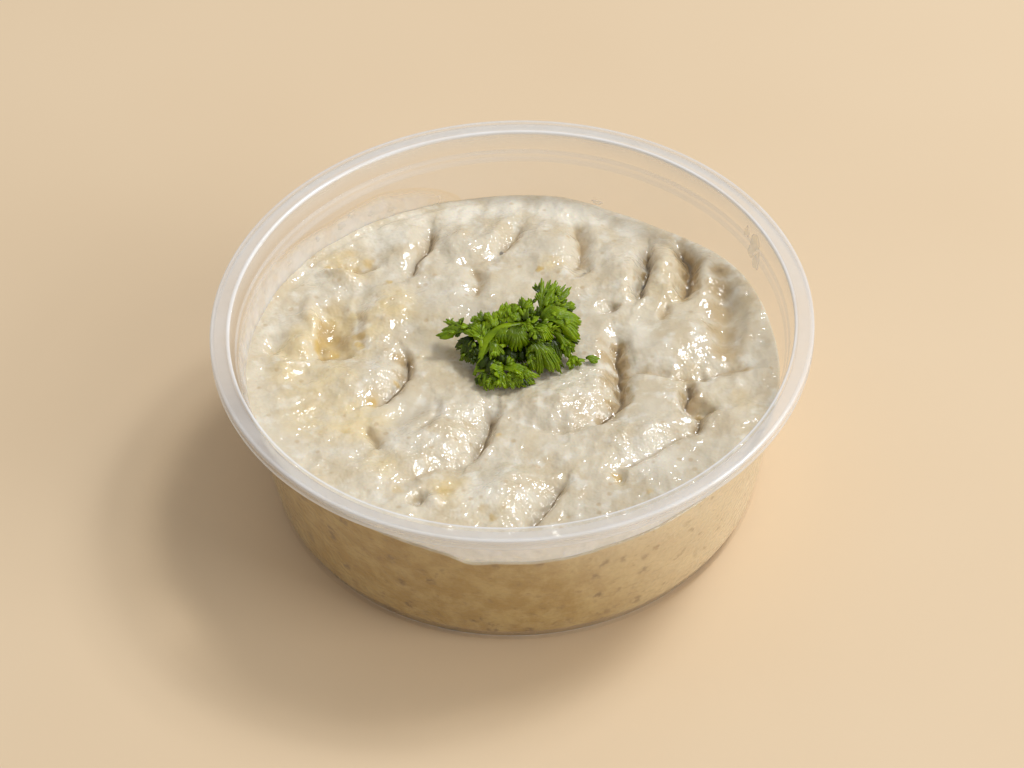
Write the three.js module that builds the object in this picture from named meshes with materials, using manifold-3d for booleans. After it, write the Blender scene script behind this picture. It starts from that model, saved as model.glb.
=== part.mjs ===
// Baba ganoush in a clear round deli tub, with a sprig of curly parsley on top.
// Millimetres, +Z up. The origin is the centre of the circle that the tub stands on, and +Y is the back.
import * as THREE from 'three';
import { mergeVertices } from 'three/addons/utils/BufferGeometryUtils.js';
import Module from 'manifold-3d';

// Tub: thin clear plastic, moulded in one piece. The rim takes a standard 118 mm press-on lid.
const RIM_RADIUS = 59;
const TUB_HEIGHT = 40;
const MOUTH_RADIUS = 55.2;
const WALL = 0.6;
const SKIRT_DEPTH = 2.4;
const RIM_CORNER = 1;
const MOUTH_CORNER = 0.3;
const LEDGE_TOP_RADIUS = 54.3;
const LEDGE_TOP = 35.7;
const LEDGE_FOOT_RADIUS = 53.4;
const LEDGE_FOOT = 34.1;
const FLOOR_RADIUS = 48;
const FLOOR_TOP = 1.1;
const FLOOR_CORNER = 1.5;
const FOOT_RING_WIDTH = 7;
const FOOT_RING_STEP = 0.5;
const CORNER_STEPS = 2;
const TUB_SIDES = 64;

// Dip: a thick paste, levelled with a spoon, 0.3 mm clear of the tub all round.
const GAP = 0.3;
const DIP_LEVEL = 28.4;
const DIP_SECTORS = 90;
const DIP_RINGS = 26;
const CREASE_SOFTNESS = 0.9;
const MARK_STEPS = 8;

// Height of the dip against the wall, every 15 degrees round the tub from +X.
const WALL_LEVELS = [
  26, 26.5, 26.6, 24.7, 23.6, 24.8, 24.9, 25.3, 26.3, 27, 28.1, 28.5,
  29.7, 30.3, 30.4, 30.3, 30.4, 28.4, 27, 27.7, 28.4, 28.8, 28.4, 27,
];

// Mounds (+) and hollows (-) that the spoon left:
// centre x, centre y, half length, half width, heading in degrees, height.
const MOUNDS = [
  [-17, -20, 13, 9, 60, 1.3],
  [10, -11, 12, 9, 40, 1.4],
  [-31, -4, 12, 8, 0, 1.2],
  [-2, -36, 11, 8, 60, 1.5],
  [-21, 36, 10, 7, 100, 1.2],
  [-7, 35, 8, 7, 60, 1],
  [9, 32, 11, 7, 90, 1],
  [23, 26, 11, 6, 90, 1],
  [31, 26, 11, 4, 90, 1.6],
  [32, 5, 11, 9, 20, 1],
  [25, -20, 10, 6, 25, 0.8],
  [-25, 17, 10, 6, 90, 1.3],
  [-42, 11, 9, 5, 100, 1],
  [-15, 16, 9, 8, 0, 0.7],
  [-16.5, -37, 3, 2.5, 0, 0.9],
  [-34, 11.5, 9, 5, 92, -2.8],
  [44.5, 10, 20, 5.5, 90, -2.2],
  [35.4, -14.4, 3.4, 2.6, 30, -2.4],
  [-41, -2, 5, 3.5, 0, -0.9],
  [-21, -13, 9, 4, 50, -0.9],
  [0, 2, 15, 10, 10, -0.9],
  [19.5, 14.5, 2.5, 2.5, 0, -1],
  [-19.5, -36, 2.6, 2.4, 0, -1.3],
  [18.8, -32.3, 3.2, 2.4, 100, -1.4],
  [-9.5, -52.5, 5, 6, 0, -1.2],
  [-33, 26, 4.5, 3, 0, 0.8],
  [-11, 36, 5, 3.6, 60, 0.8],
  [-3, 38.5, 4, 2.6, 60, 0.9],
  [-39.8, 15, 8, 3, 100, 1.3],
  [-42, 6, 4.5, 3, 70, 1.1],
  [-47, 7, 4, 3, 60, -1.3],
  [40.5, 24, 8, 3.6, 100, 1],
];

// Creases where one spoonful overlaps the next:
// start x, y, end x, y, bow to the left of that way, depth, width of the round side (to the right
// of that way), width of the steep side.
const CREASES = [
  [-15.3, 42, -21.5, 26, 0.9, 2.6, 5, 2.6],
  [3.5, 41, -3, 32, 1, 1.8, 5, 2.6],
  [13, 42.5, 12.6, 25, 1.6, 2, 3.5, 4],
  [16, 27.5, 13, 24, 0.3, 1.2, 2, 2.4],
  [28.8, 35, 24.5, 16, 1.2, 3.2, 4.5, 2.6],
  [33.8, 36.5, 34, 16.5, 2, 3.2, 2.8, 3],
  [20.3, 7, 20.9, -9, 0.2, 3, 5, 3.4],
  [21, -6, 14.5, -18, 2.4, 2.4, 5, 2.6],
  [47, -3.4, 38.5, -4.6, -0.9, 1.5, 4.5, 2.6],
  [39, -4.6, 31.5, -4.2, 0.9, 1.5, 4.5, 2.6],
  [32, -5.2, 22, -3.2, -0.7, 1.5, 4, 2.6],
  [34, -6, 33.2, -15, 0.2, 2.4, 2.8, 2.6],
  [38.4, -12.8, 33.4, -20.2, 0.5, 2.2, 2.6, 2.6],
  [-3.4, -12, -9.2, -26.5, 0.7, 3.2, 6, 2.6],
  [-20.5, 6, -28, -12, 3, 2.8, 5.5, 2.6],
  [8.8, -33, 0.5, -44, 0.8, 2.8, 6, 2.6],
  [-30, -17, -27, -22.5, 0.3, 1.4, 2.4, 2.6],
  [32, 15.5, 29.5, 10.8, 0.3, 1.4, 2.4, 2.4],
  [36, -19.5, 17.5, -30.5, 0.4, 1.4, 4.5, 2.6],
  [-25.5, 31.5, -37.5, 29.5, 1.6, 1.4, 3, 2.6],
  [-7.2, 29, -7.2, 19, 0.5, 1.4, 4, 3],
  [-1, 31, -11, 29.5, 0, 0.9, 4, 2.6],
  [15.5, -18.5, 2, -18, 0.6, 0.9, 3, 2.6],
  [-9.5, -27.5, -22, -31.5, -0.8, 1, 5, 3.5],
  [-31, 17, -30, 5.2, 0.3, 1.8, 4.5, 2.6],
  [-29, 5.2, -39.5, 4.4, 0, 1.6, 3.5, 2.6],
  [-15.5, -9, -20, -19, 2.2, 0.9, 4, 2.6],
];

// Parsley: thin curled blades on soft stems, laid on the dip.
const BLADE = 0.5;
const STUB = 0.14;
const SHOULDER = 0.2;
const NOTCH = 0.26;
const FRILL = 0.3;
const BLADE_ROWS = 2;
const STEM_RADIUS = 0.55;
const STEM_STEPS = 5;
const RESTING_GAP = 0.7;

// Radius of a straight wall at a height, from a point low and a point high on it.
function slope(low, high, z) {
  return low.r + (high.r - low.r) * (z - low.z) / (high.z - low.z);
}

// Inner radius of the tub's main wall, which tapers from the ledge down to the floor.
function wallRadius(z) {
  return slope({ r: FLOOR_RADIUS, z: FLOOR_TOP }, { r: LEDGE_FOOT_RADIUS, z: LEDGE_FOOT }, z);
}

// Half section of the tub: up the outside from the axis, over the rim, and down the inside.
function tubSection() {
  const outerFloor = wallRadius(0) + WALL;
  const skirtFoot = TUB_HEIGHT - SKIRT_DEPTH;
  const underRim = TUB_HEIGHT - WALL;
  const section = new THREE.Path();
  section.moveTo(0, FOOT_RING_STEP);
  section.lineTo(outerFloor - FLOOR_CORNER - FOOT_RING_WIDTH, FOOT_RING_STEP);
  section.lineTo(outerFloor - FLOOR_CORNER - FOOT_RING_WIDTH + FOOT_RING_STEP, 0);
  section.lineTo(outerFloor - FLOOR_CORNER, 0);
  section.quadraticCurveTo(outerFloor, 0, wallRadius(FLOOR_CORNER) + WALL, FLOOR_CORNER);
  section.lineTo(LEDGE_FOOT_RADIUS + WALL, LEDGE_FOOT - WALL);
  section.lineTo(LEDGE_TOP_RADIUS + WALL, LEDGE_TOP - WALL);
  section.lineTo(MOUTH_RADIUS + WALL, underRim);
  section.lineTo(RIM_RADIUS - WALL, underRim);
  section.lineTo(RIM_RADIUS - WALL, skirtFoot);
  section.lineTo(RIM_RADIUS, skirtFoot);
  section.lineTo(RIM_RADIUS, TUB_HEIGHT - RIM_CORNER);
  section.quadraticCurveTo(RIM_RADIUS, TUB_HEIGHT, RIM_RADIUS - RIM_CORNER, TUB_HEIGHT);
  section.lineTo(MOUTH_RADIUS + MOUTH_CORNER, TUB_HEIGHT);
  section.lineTo(MOUTH_RADIUS, TUB_HEIGHT - MOUTH_CORNER);
  section.lineTo(LEDGE_TOP_RADIUS, LEDGE_TOP);
  section.lineTo(LEDGE_FOOT_RADIUS, LEDGE_FOOT);
  section.lineTo(wallRadius(FLOOR_TOP + FLOOR_CORNER), FLOOR_TOP + FLOOR_CORNER);
  section.quadraticCurveTo(FLOOR_RADIUS, FLOOR_TOP, FLOOR_RADIUS - FLOOR_CORNER, FLOOR_TOP);
  section.lineTo(0, FLOOR_TOP);
  return section.getPoints(CORNER_STEPS);
}

function tub() {
  const geometry = new THREE.LatheGeometry(tubSection(), TUB_SIDES);
  geometry.rotateX(Math.PI / 2);
  return geometry;
}

// Smooth periodic curve through the levels along the wall.
function wallLevel(angle) {
  const count = WALL_LEVELS.length;
  const place = ((angle / (2 * Math.PI)) * count + count) % count;
  const step = Math.floor(place);
  const part = place - step;
  const near = [-1, 0, 1, 2].map((offset) => WALL_LEVELS[(step + offset + count) % count]);
  const bend = near[3] - near[2] - near[0] + near[1];
  const turn = near[0] - near[1] - bend;
  return bend * part ** 3 + turn * part ** 2 + (near[2] - near[0]) * part + near[1];
}

function moundHeight([centreX, centreY, halfLength, halfWidth, heading, height], x, y) {
  const angle = THREE.MathUtils.degToRad(heading);
  const along = ((x - centreX) * Math.cos(angle) + (y - centreY) * Math.sin(angle)) / halfLength;
  const across = ((y - centreY) * Math.cos(angle) - (x - centreX) * Math.sin(angle)) / halfWidth;
  const reach = Math.min(along ** 2 + across ** 2, 1);
  return height * (1 - reach) ** 2;
}

// The course of a crease, as short straight steps along a shallow curve.
function creaseCourse([startX, startY, endX, endY, bow]) {
  const start = new THREE.Vector2(startX, startY);
  const end = new THREE.Vector2(endX, endY);
  const way = end.clone().sub(start).normalize();
  const left = new THREE.Vector2(-way.y, way.x);
  const middle = start.clone().lerp(end, 0.5).addScaledVector(left, 2 * bow);
  return new THREE.QuadraticBezierCurve(start, middle, end).getPoints(MARK_STEPS);
}

const COURSES = CREASES.map(creaseCourse);

// A crease is deepest on its line. Its round side rises like a shoulder, its steep side like a bank.
function creaseDepth(crease, course, x, y) {
  const [, , , , , depth, roundWidth, steepWidth] = crease;
  let nearest = Infinity;
  let share = 0;
  let side = 0;
  for (let step = 0; step < MARK_STEPS; step += 1) {
    const from = course[step];
    const way = course[step + 1].clone().sub(from);
    const toPoint = new THREE.Vector2(x - from.x, y - from.y);
    const part = THREE.MathUtils.clamp(toPoint.dot(way) / way.lengthSq(), 0, 1);
    const distance = toPoint.distanceTo(way.clone().multiplyScalar(part));
    if (distance < nearest) {
      nearest = distance;
      share = (step + part) / MARK_STEPS;
      side = way.cross(toPoint);
    }
  }
  const width = side < 0 ? roundWidth : steepWidth;
  const bank = Math.max(1 - Math.hypot(nearest, CREASE_SOFTNESS) / width, 0) ** 2;
  const taper = Math.min(1, 6 * share, 6 * (1 - share));
  return depth * bank * (0.3 + 0.7 * taper);
}

// Height of the dip's surface.
function dipHeight(x, y) {
  const reach = Math.min(Math.hypot(x, y) / wallRadius(DIP_LEVEL), 1);
  const angle = Math.atan2(y, x);
  let height = DIP_LEVEL + (wallLevel(angle) - DIP_LEVEL) * reach ** 4;
  MOUNDS.forEach((mound) => {
    height += moundHeight(mound, x, y);
  });
  CREASES.forEach((crease, index) => {
    height -= creaseDepth(crease, COURSES[index], x, y);
  });
  return height;
}

// Closed solid from rings of points: a pole, the rings one after another, and a pole again.
function ringedSolid(firstPole, rings, lastPole) {
  const sectors = rings[0].length;
  const positions = [firstPole, ...rings.flat(), lastPole].flatMap((point) => point.toArray());
  const last = positions.length / 3 - 1;
  const faces = [];
  for (let sector = 0; sector < sectors; sector += 1) {
    const next = (sector + 1) % sectors;
    faces.push(0, 1 + sector, 1 + next);
    for (let ring = 1; ring < rings.length; ring += 1) {
      const inner = 1 + (ring - 1) * sectors;
      const outer = 1 + ring * sectors;
      faces.push(inner + sector, outer + sector, outer + next);
      faces.push(inner + sector, outer + next, inner + next);
    }
    const rim = 1 + (rings.length - 1) * sectors;
    faces.push(rim + sector, last, rim + next);
  }
  const geometry = new THREE.BufferGeometry();
  geometry.setAttribute('position', new THREE.Float32BufferAttribute(positions, 3));
  geometry.setIndex(faces);
  geometry.computeVertexNormals();
  return geometry;
}

// Radius at which the dip's surface meets the gap along the wall.
function edgeRadius(angle) {
  const guess = wallRadius(wallLevel(angle)) - GAP;
  return wallRadius(dipHeight(guess * Math.cos(angle), guess * Math.sin(angle))) - GAP;
}

function ringAt(radiusAndHeight) {
  return Array.from({ length: DIP_SECTORS }, (_, sector) => {
    const angle = (2 * Math.PI * sector) / DIP_SECTORS;
    const [radius, height] = radiusAndHeight(angle);
    const x = radius * Math.cos(angle);
    const y = radius * Math.sin(angle);
    return new THREE.Vector3(x, y, height ?? dipHeight(x, y));
  });
}

// The dip: its spooned surface, the side that follows the tub's wall, and its flat underside.
function dip() {
  const bottom = FLOOR_TOP + GAP;
  const corner = bottom + FLOOR_CORNER;
  const rings = [];
  for (let ring = 1; ring <= DIP_RINGS; ring += 1) {
    rings.push(ringAt((angle) => [edgeRadius(angle) * ring / DIP_RINGS]));
  }
  rings.push(ringAt(() => [wallRadius(corner) - GAP, corner]));
  rings.push(ringAt(() => [wallRadius(bottom) - GAP - FLOOR_CORNER, bottom]));
  const top = new THREE.Vector3(0, 0, dipHeight(0, 0));
  return ringedSolid(top, rings, new THREE.Vector3(0, 0, bottom));
}

// One blade of parsley: a fan that opens from its root, with pleated lobes.
function leaf(root, tip, spreadDegrees, lobes, bow, cup, rollDegrees) {
  const forward = new THREE.Vector3(...tip).sub(new THREE.Vector3(...root));
  const length = forward.length();
  forward.normalize();
  const roll = THREE.MathUtils.degToRad(rollDegrees);
  const sideways = new THREE.Vector3(0, 0, 1).cross(forward).normalize().applyAxisAngle(forward, roll);
  const upwards = forward.clone().cross(sideways);
  const spread = THREE.MathUtils.degToRad(spreadDegrees);

  function bladePoint(across, along) {
    const notch = (1 + Math.cos(Math.PI * lobes * (across + 1))) / 2;
    const edge = (1 - SHOULDER * across ** 2) * (1 - NOTCH * notch);
    const reach = length * (STUB + (1 - STUB) * along * edge);
    const pleat = FRILL * along ** 2 * (1 - 2 * notch);
    const lift = 4 * bow * along * (1 - along) - cup * across ** 2 * along + pleat;
    const point = new THREE.Vector3(...root);
    point.addScaledVector(forward, reach * Math.cos(spread * across));
    point.addScaledVector(sideways, reach * Math.sin(spread * across));
    point.addScaledVector(upwards, lift);
    point.z = Math.max(point.z, dipHeight(point.x, point.y) + RESTING_GAP);
    return point;
  }

  const columns = 2 * lobes;
  const grid = [];
  for (let row = 0; row <= BLADE_ROWS; row += 1) {
    for (let column = 0; column <= columns; column += 1) {
      grid.push(bladePoint((2 * column) / columns - 1, row / BLADE_ROWS));
    }
  }
  return sheetSolid(grid, columns, BLADE_ROWS);
}

// Gives a grid of points a thickness. Both faces are split into triangles alike.
function sheetSolid(grid, columns, rows) {
  const stride = columns + 1;
  const at = (column, row) => grid[row * stride + column];
  const faces = [];
  const upper = [];
  const lower = [];
  for (let row = 0; row <= rows; row += 1) {
    for (let column = 0; column <= columns; column += 1) {
      const across = at(Math.min(column + 1, columns), row).clone().sub(at(Math.max(column - 1, 0), row));
      const along = at(column, Math.min(row + 1, rows)).clone().sub(at(column, Math.max(row - 1, 0)));
      const normal = along.cross(across).normalize();
      upper.push(at(column, row).clone().addScaledVector(normal, BLADE / 2));
      lower.push(at(column, row).clone().addScaledVector(normal, -BLADE / 2));
    }
  }
  const under = grid.length;
  for (let row = 0; row < rows; row += 1) {
    for (let column = 0; column < columns; column += 1) {
      const a = row * stride + column;
      const b = a + 1;
      const c = b + stride;
      const d = a + stride;
      faces.push(a, d, c, a, c, b);
      faces.push(under + a, under + c, under + d, under + a, under + b, under + c);
    }
  }
  const border = [];
  for (let column = 0; column < columns; column += 1) border.push(column);
  for (let row = 0; row < rows; row += 1) border.push(row * stride + columns);
  for (let column = columns; column > 0; column -= 1) border.push(rows * stride + column);
  for (let row = rows; row > 0; row -= 1) border.push(row * stride);
  border.forEach((from, index) => {
    const to = border[(index + 1) % border.length];
    faces.push(from, to, under + to, from, under + to, under + from);
  });
  const geometry = new THREE.BufferGeometry();
  const positions = [...upper, ...lower].flatMap((point) => point.toArray());
  geometry.setAttribute('position', new THREE.Float32BufferAttribute(positions, 3));
  geometry.setIndex(faces);
  return geometry;
}

// A soft stem: a thin round tube along a smooth curve.
function stem(...points) {
  const curve = new THREE.CatmullRomCurve3(points.map((point) => new THREE.Vector3(...point)));
  const section = new THREE.Shape().absarc(0, 0, STEM_RADIUS, 0, 2 * Math.PI);
  const geometry = new THREE.ExtrudeGeometry(section, {
    extrudePath: curve,
    steps: STEM_STEPS,
    curveSegments: 3,
    bevelEnabled: false,
  });
  geometry.deleteAttribute('normal');
  geometry.deleteAttribute('uv');
  return mergeVertices(geometry);
}

const wasm = await Module();
wasm.setup();

function toManifold(geometry) {
  return new wasm.Manifold(new wasm.Mesh({
    numProp: 3,
    vertProperties: new Float32Array(geometry.attributes.position.array),
    triVerts: new Uint32Array(geometry.index.array),
  }));
}

// The triangles of the largest connected skin, so that a pocket sealed between pieces is filled.
function outerSkin(triangles, vertexCount) {
  const link = Array.from({ length: vertexCount }, (_, vertex) => vertex);
  const skinOf = (vertex) => {
    let top = vertex;
    while (link[top] !== top) top = link[top];
    link[vertex] = top;
    return top;
  };
  for (let corner = 0; corner < triangles.length; corner += 3) {
    link[skinOf(triangles[corner + 1])] = skinOf(triangles[corner]);
    link[skinOf(triangles[corner + 2])] = skinOf(triangles[corner]);
  }
  const skins = new Map();
  for (let corner = 0; corner < triangles.length; corner += 3) {
    const skin = skinOf(triangles[corner]);
    if (!skins.has(skin)) skins.set(skin, []);
    skins.get(skin).push(...triangles.slice(corner, corner + 3));
  }
  return [...skins.values()].sort((one, other) => other.length - one.length)[0];
}

function fused(geometries) {
  const joined = geometries.map(toManifold).reduce((whole, piece) => whole.add(piece));
  const mesh = joined.getMesh();
  const vertexCount = mesh.vertProperties.length / mesh.numProp;
  const geometry = new THREE.BufferGeometry();
  geometry.setAttribute('position', new THREE.Float32BufferAttribute(mesh.vertProperties, 3));
  geometry.setIndex(outerSkin(Array.from(mesh.triVerts), vertexCount));
  geometry.computeVertexNormals();
  return geometry;
}

// The sprig: a main stem that climbs from its cut end and forks, and the blades that it carries.
function parsleySprig() {
  return fused([
    stem(
      [-7.8, -4.6, 29.9],
      [-6.2, -1.4, 32.1],
      [-4.4, 1.6, 34.2],
      [-1.8, 3, 35],
      [1.4, 3.6, 35.3],
      [5, 3.8, 35.2],
    ),
    stem([-5.7, -0.2, 33.1], [-7, 2.4, 33.8], [-11, 5, 33]),
    stem([4, 3.8, 35.2], [5, 5.2, 34.9], [6, 7, 34.9]),
    stem([5, 3.6, 35.1], [8, 2.4, 33.6], [10, 0.6, 31.6], [11.8, -1.4, 30]),
    stem([-7.4, -3.8, 30.3], [-5, -4.6, 30.8], [-2, -4.8, 31]),
    leaf([-6.6, -1.8, 31.9], [-4.6, 3.8, 34.8], 24, 2, 0.5, -0.5, 0),
    leaf([-10.5, 4.9, 33.1], [-14.9, 6.6, 32], 34, 3, 0.5, 0.4, 0),
    leaf([-9.8, 4.5, 33.3], [-12.3, 8.4, 33], 30, 2, 0.4, 0.4, 0),
    leaf([-7.4, 3, 33.7], [-9.2, 7.6, 33.4], 34, 3, 0.4, 0.4, 0),
    leaf([-5.6, 1.4, 33.8], [-6.2, 8.6, 34.6], 26, 3, 0.5, 0.5, 0),
    leaf([-3.8, 2, 34.5], [-3.6, 8.2, 35.2], 30, 3, 0.4, 0.5, 0),
    leaf([-1.6, 3.1, 35], [-1.2, 8.4, 36], 32, 3, 0.4, 0.5, 0),
    leaf([0.6, 3.5, 35.2], [1.4, 8.5, 36.6], 30, 3, 0.4, 0.5, 0),
    leaf([4.6, 5.2, 34.9], [3.6, 11, 36.8], 22, 2, 0.3, 0.3, 0),
    leaf([5.4, 6.2, 34.9], [7.2, 14.4, 37.8], 20, 3, 0.6, 0.6, 20),
    leaf([6, 6.6, 34.9], [9.9, 13.9, 37.6], 18, 2, 0.5, 0.4, -30),
    leaf([5.6, 6.2, 34.9], [11.6, 11.4, 36.2], 28, 3, 0.5, 0.4, -10),
    leaf([5.2, 3.9, 35.2], [14.8, 6.8, 33.9], 42, 5, 1.6, 1.4, 0),
    leaf([7, 2.8, 34.3], [13, 2.8, 31.6], 36, 3, 0.8, 0.6, 0),
    leaf([0.8, 3.3, 35.6], [1.4, -2, 31.6], 50, 4, 1.8, 1.4, 0),
    leaf([4.8, 3.4, 35.3], [7.4, -0.8, 33.4], 46, 3, 1, 0.8, 0),
    leaf([3.4, 3.4, 35.3], [8.6, -5.4, 29.6], 24, 4, 1.6, 1, 0),
    leaf([8.2, 2.2, 33.5], [9.6, -1.6, 30.2], 34, 3, 0.6, 0.5, 0),
    leaf([-7, 2.3, 33.7], [-10.8, 0.2, 29.6], 38, 3, 0.9, 0.6, 0),
    leaf([-6.2, -1, 32.5], [-9.4, -2, 29.4], 36, 3, 0.5, 0.5, 0),
    leaf([-4.8, 1, 33.8], [-2.4, -3, 30.8], 30, 3, 0.6, 0.6, 0),
    leaf([-3.4, -4.7, 31], [4.7, -5, 30], 30, 4, 0.9, 0.6, 0),
    leaf([-5.6, -4.4, 30.7], [-7.4, -7.2, 29.3], 36, 3, 0.4, 0.4, 0),
    leaf([-4, -4.7, 30.9], [-4, -8.5, 29.2], 34, 3, 0.4, 0.4, 0),
    leaf([-2.4, -4.8, 31], [0.4, -8.6, 29.2], 34, 3, 0.4, 0.4, 0),
    leaf([11.4, -1, 30.4], [12.6, -3.4, 29.3], 46, 3, 0.3, 0.3, 0),
  ]);
}

// A tiny torn-off scrap of parsley beside the sprig.
function parsleyScrap() {
  return leaf([14, -0.9, 29.4], [17.2, -0.8, 29.2], 36, 2, 0.3, 0.2, 0);
}

const part = new THREE.Group();

function addPiece(name, geometry, material) {
  const mesh = new THREE.Mesh(geometry, new THREE.MeshStandardMaterial(material));
  mesh.name = name;
  part.add(mesh);
}

addPiece('tub', tub(), { color: 0xe6e2dc, roughness: 0.25, metalness: 0, transparent: true, opacity: 0.35 });
addPiece('dip', dip(), { color: 0xd8ccb4, roughness: 0.4, metalness: 0 });
addPiece('parsley', parsleySprig(), { color: 0x4a7a18, roughness: 0.55, metalness: 0 });
addPiece('parsley_scrap', parsleyScrap(), { color: 0x55831f, roughness: 0.55, metalness: 0 });

export default part;
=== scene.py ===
"""Baba ganoush in a clear round deli tub, with a sprig of curly parsley on top.

Lengths are in metres unless a comment says millimetres. The pieces come in the order in which the
food is made up: the moulded tub, the dip that is spooned into it, what the spoon leaves on the
wall, and the parsley. The table, the lamps and the camera come last.
"""
import math
import bpy
import numpy as np
from mathutils import Matrix, Vector, noise


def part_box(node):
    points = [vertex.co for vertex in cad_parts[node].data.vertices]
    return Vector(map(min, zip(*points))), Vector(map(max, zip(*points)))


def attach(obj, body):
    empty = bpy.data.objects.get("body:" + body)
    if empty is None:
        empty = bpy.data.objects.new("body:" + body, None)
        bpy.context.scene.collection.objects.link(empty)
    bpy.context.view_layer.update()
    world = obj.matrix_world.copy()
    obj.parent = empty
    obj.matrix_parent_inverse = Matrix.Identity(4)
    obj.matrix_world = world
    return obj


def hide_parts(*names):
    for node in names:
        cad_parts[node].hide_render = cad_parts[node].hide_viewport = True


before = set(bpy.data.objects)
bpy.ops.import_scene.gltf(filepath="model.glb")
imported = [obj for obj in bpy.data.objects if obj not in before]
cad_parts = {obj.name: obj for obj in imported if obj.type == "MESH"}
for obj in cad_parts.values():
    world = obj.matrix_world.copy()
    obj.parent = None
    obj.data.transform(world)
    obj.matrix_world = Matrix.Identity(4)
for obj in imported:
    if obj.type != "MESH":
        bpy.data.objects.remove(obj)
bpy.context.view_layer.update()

MM = 0.001


# ---------------------------------------------------------------------------------------------
# Tub. A shallow round tub of clear polypropylene, injection moulded in one piece. The wall is
# about half a millimetre thick, with a stacking ledge below a flat rim that takes the lid.
# The section is drawn once and turned round the axis; its corners are thicker, so they look milky.
# ---------------------------------------------------------------------------------------------
# Lengths in millimetres. A pair is a radius and a height on the inside of the wall.
_, tub_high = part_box("tub")
RIM_RADIUS = tub_high.x / MM
TUB_HEIGHT = tub_high.z / MM
MOUTH_RADIUS = 55.2
WALL = 0.6
SKIRT_DEPTH = 2.4
LEDGE_TOP = (54.3, 35.7)
LEDGE_FOOT = (53.4, 34.1)
FLOOR_EDGE = (48, 1.1)
FLOOR_CORNER = 1.5
FOOT_RING_WIDTH = 7
FOOT_RING_STEP = 0.5
TUB_TURNS = 240

# How milky the plastic is, from 0 to 1, on the plain wall and on the flat of the rim, and the
# colours of its clear and of its milky share.
WALL_HAZE = 0.05
RIM_HAZE = 0.22
CLEAR_TONE = (0.99, 0.985, 0.975)
MILKY_TONE = (0.86, 0.868, 0.89)


def wall_radius(z):
    """Inner radius of the tub's main wall at a height, in millimetres."""
    widening = LEDGE_FOOT[0] - FLOOR_EDGE[0]
    return FLOOR_EDGE[0] + widening * (z - FLOOR_EDGE[1]) / (LEDGE_FOOT[1] - FLOOR_EDGE[1])


def rounded(corners, steps=4):
    """A section line through corners given as (radius, height, rounding, haze)."""
    line = []
    for index, (r, z, rounding, haze) in enumerate(corners):
        here = np.array((r, z))
        if rounding == 0:
            line.append((r, z, haze))
            continue
        before = np.array(corners[index - 1][:2])
        after = np.array(corners[(index + 1) % len(corners)][:2])
        start = here + (before - here) * min(0.48, rounding / np.linalg.norm(before - here))
        end = here + (after - here) * min(0.48, rounding / np.linalg.norm(after - here))
        for step in range(steps + 1):
            t = step / steps
            point = (1 - t) ** 2 * start + 2 * t * (1 - t) * here + t ** 2 * end
            line.append((*point, haze))
    return line


def turned(name, line, turns):
    """Turns a section line that starts and ends on the axis into a closed round body."""
    inner = line[1:-1]
    angles = [2 * math.pi * turn / turns for turn in range(turns)]
    points = [(r * math.cos(a), r * math.sin(a), z) for r, z, _ in inner for a in angles]
    points += [(0, 0, line[0][1]), (0, 0, line[-1][1])]
    first, last = len(points) - 2, len(points) - 1
    faces = []
    for turn in range(turns):
        after = (turn + 1) % turns
        faces.append((first, after, turn))
        for row in range(len(inner) - 1):
            low, high = row * turns, (row + 1) * turns
            faces.append((low + turn, low + after, high + after, high + turn))
        top = (len(inner) - 1) * turns
        faces.append((top + turn, top + after, last))
    piece = mesh_piece(name, points, faces)
    mark(piece, "haze", [haze for _, _, haze in inner for _ in angles] + [line[0][2], line[-1][2]])
    return piece


def mesh_piece(name, points, faces):
    """A smooth-shaded mesh object at the origin, from points in millimetres."""
    mesh = bpy.data.meshes.new(name)
    mesh.from_pydata([tuple(float(value) * MM for value in point) for point in points], [], faces)
    mesh.update()
    mesh.shade_smooth()
    piece = bpy.data.objects.new(name, mesh)
    bpy.context.scene.collection.objects.link(piece)
    return piece


def mark(piece, name, values):
    """Gives each point of a piece a number that its material reads."""
    attribute = piece.data.attributes.new(name, "FLOAT", "POINT")
    attribute.data.foreach_set("value", np.array(values, np.float32))


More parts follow.
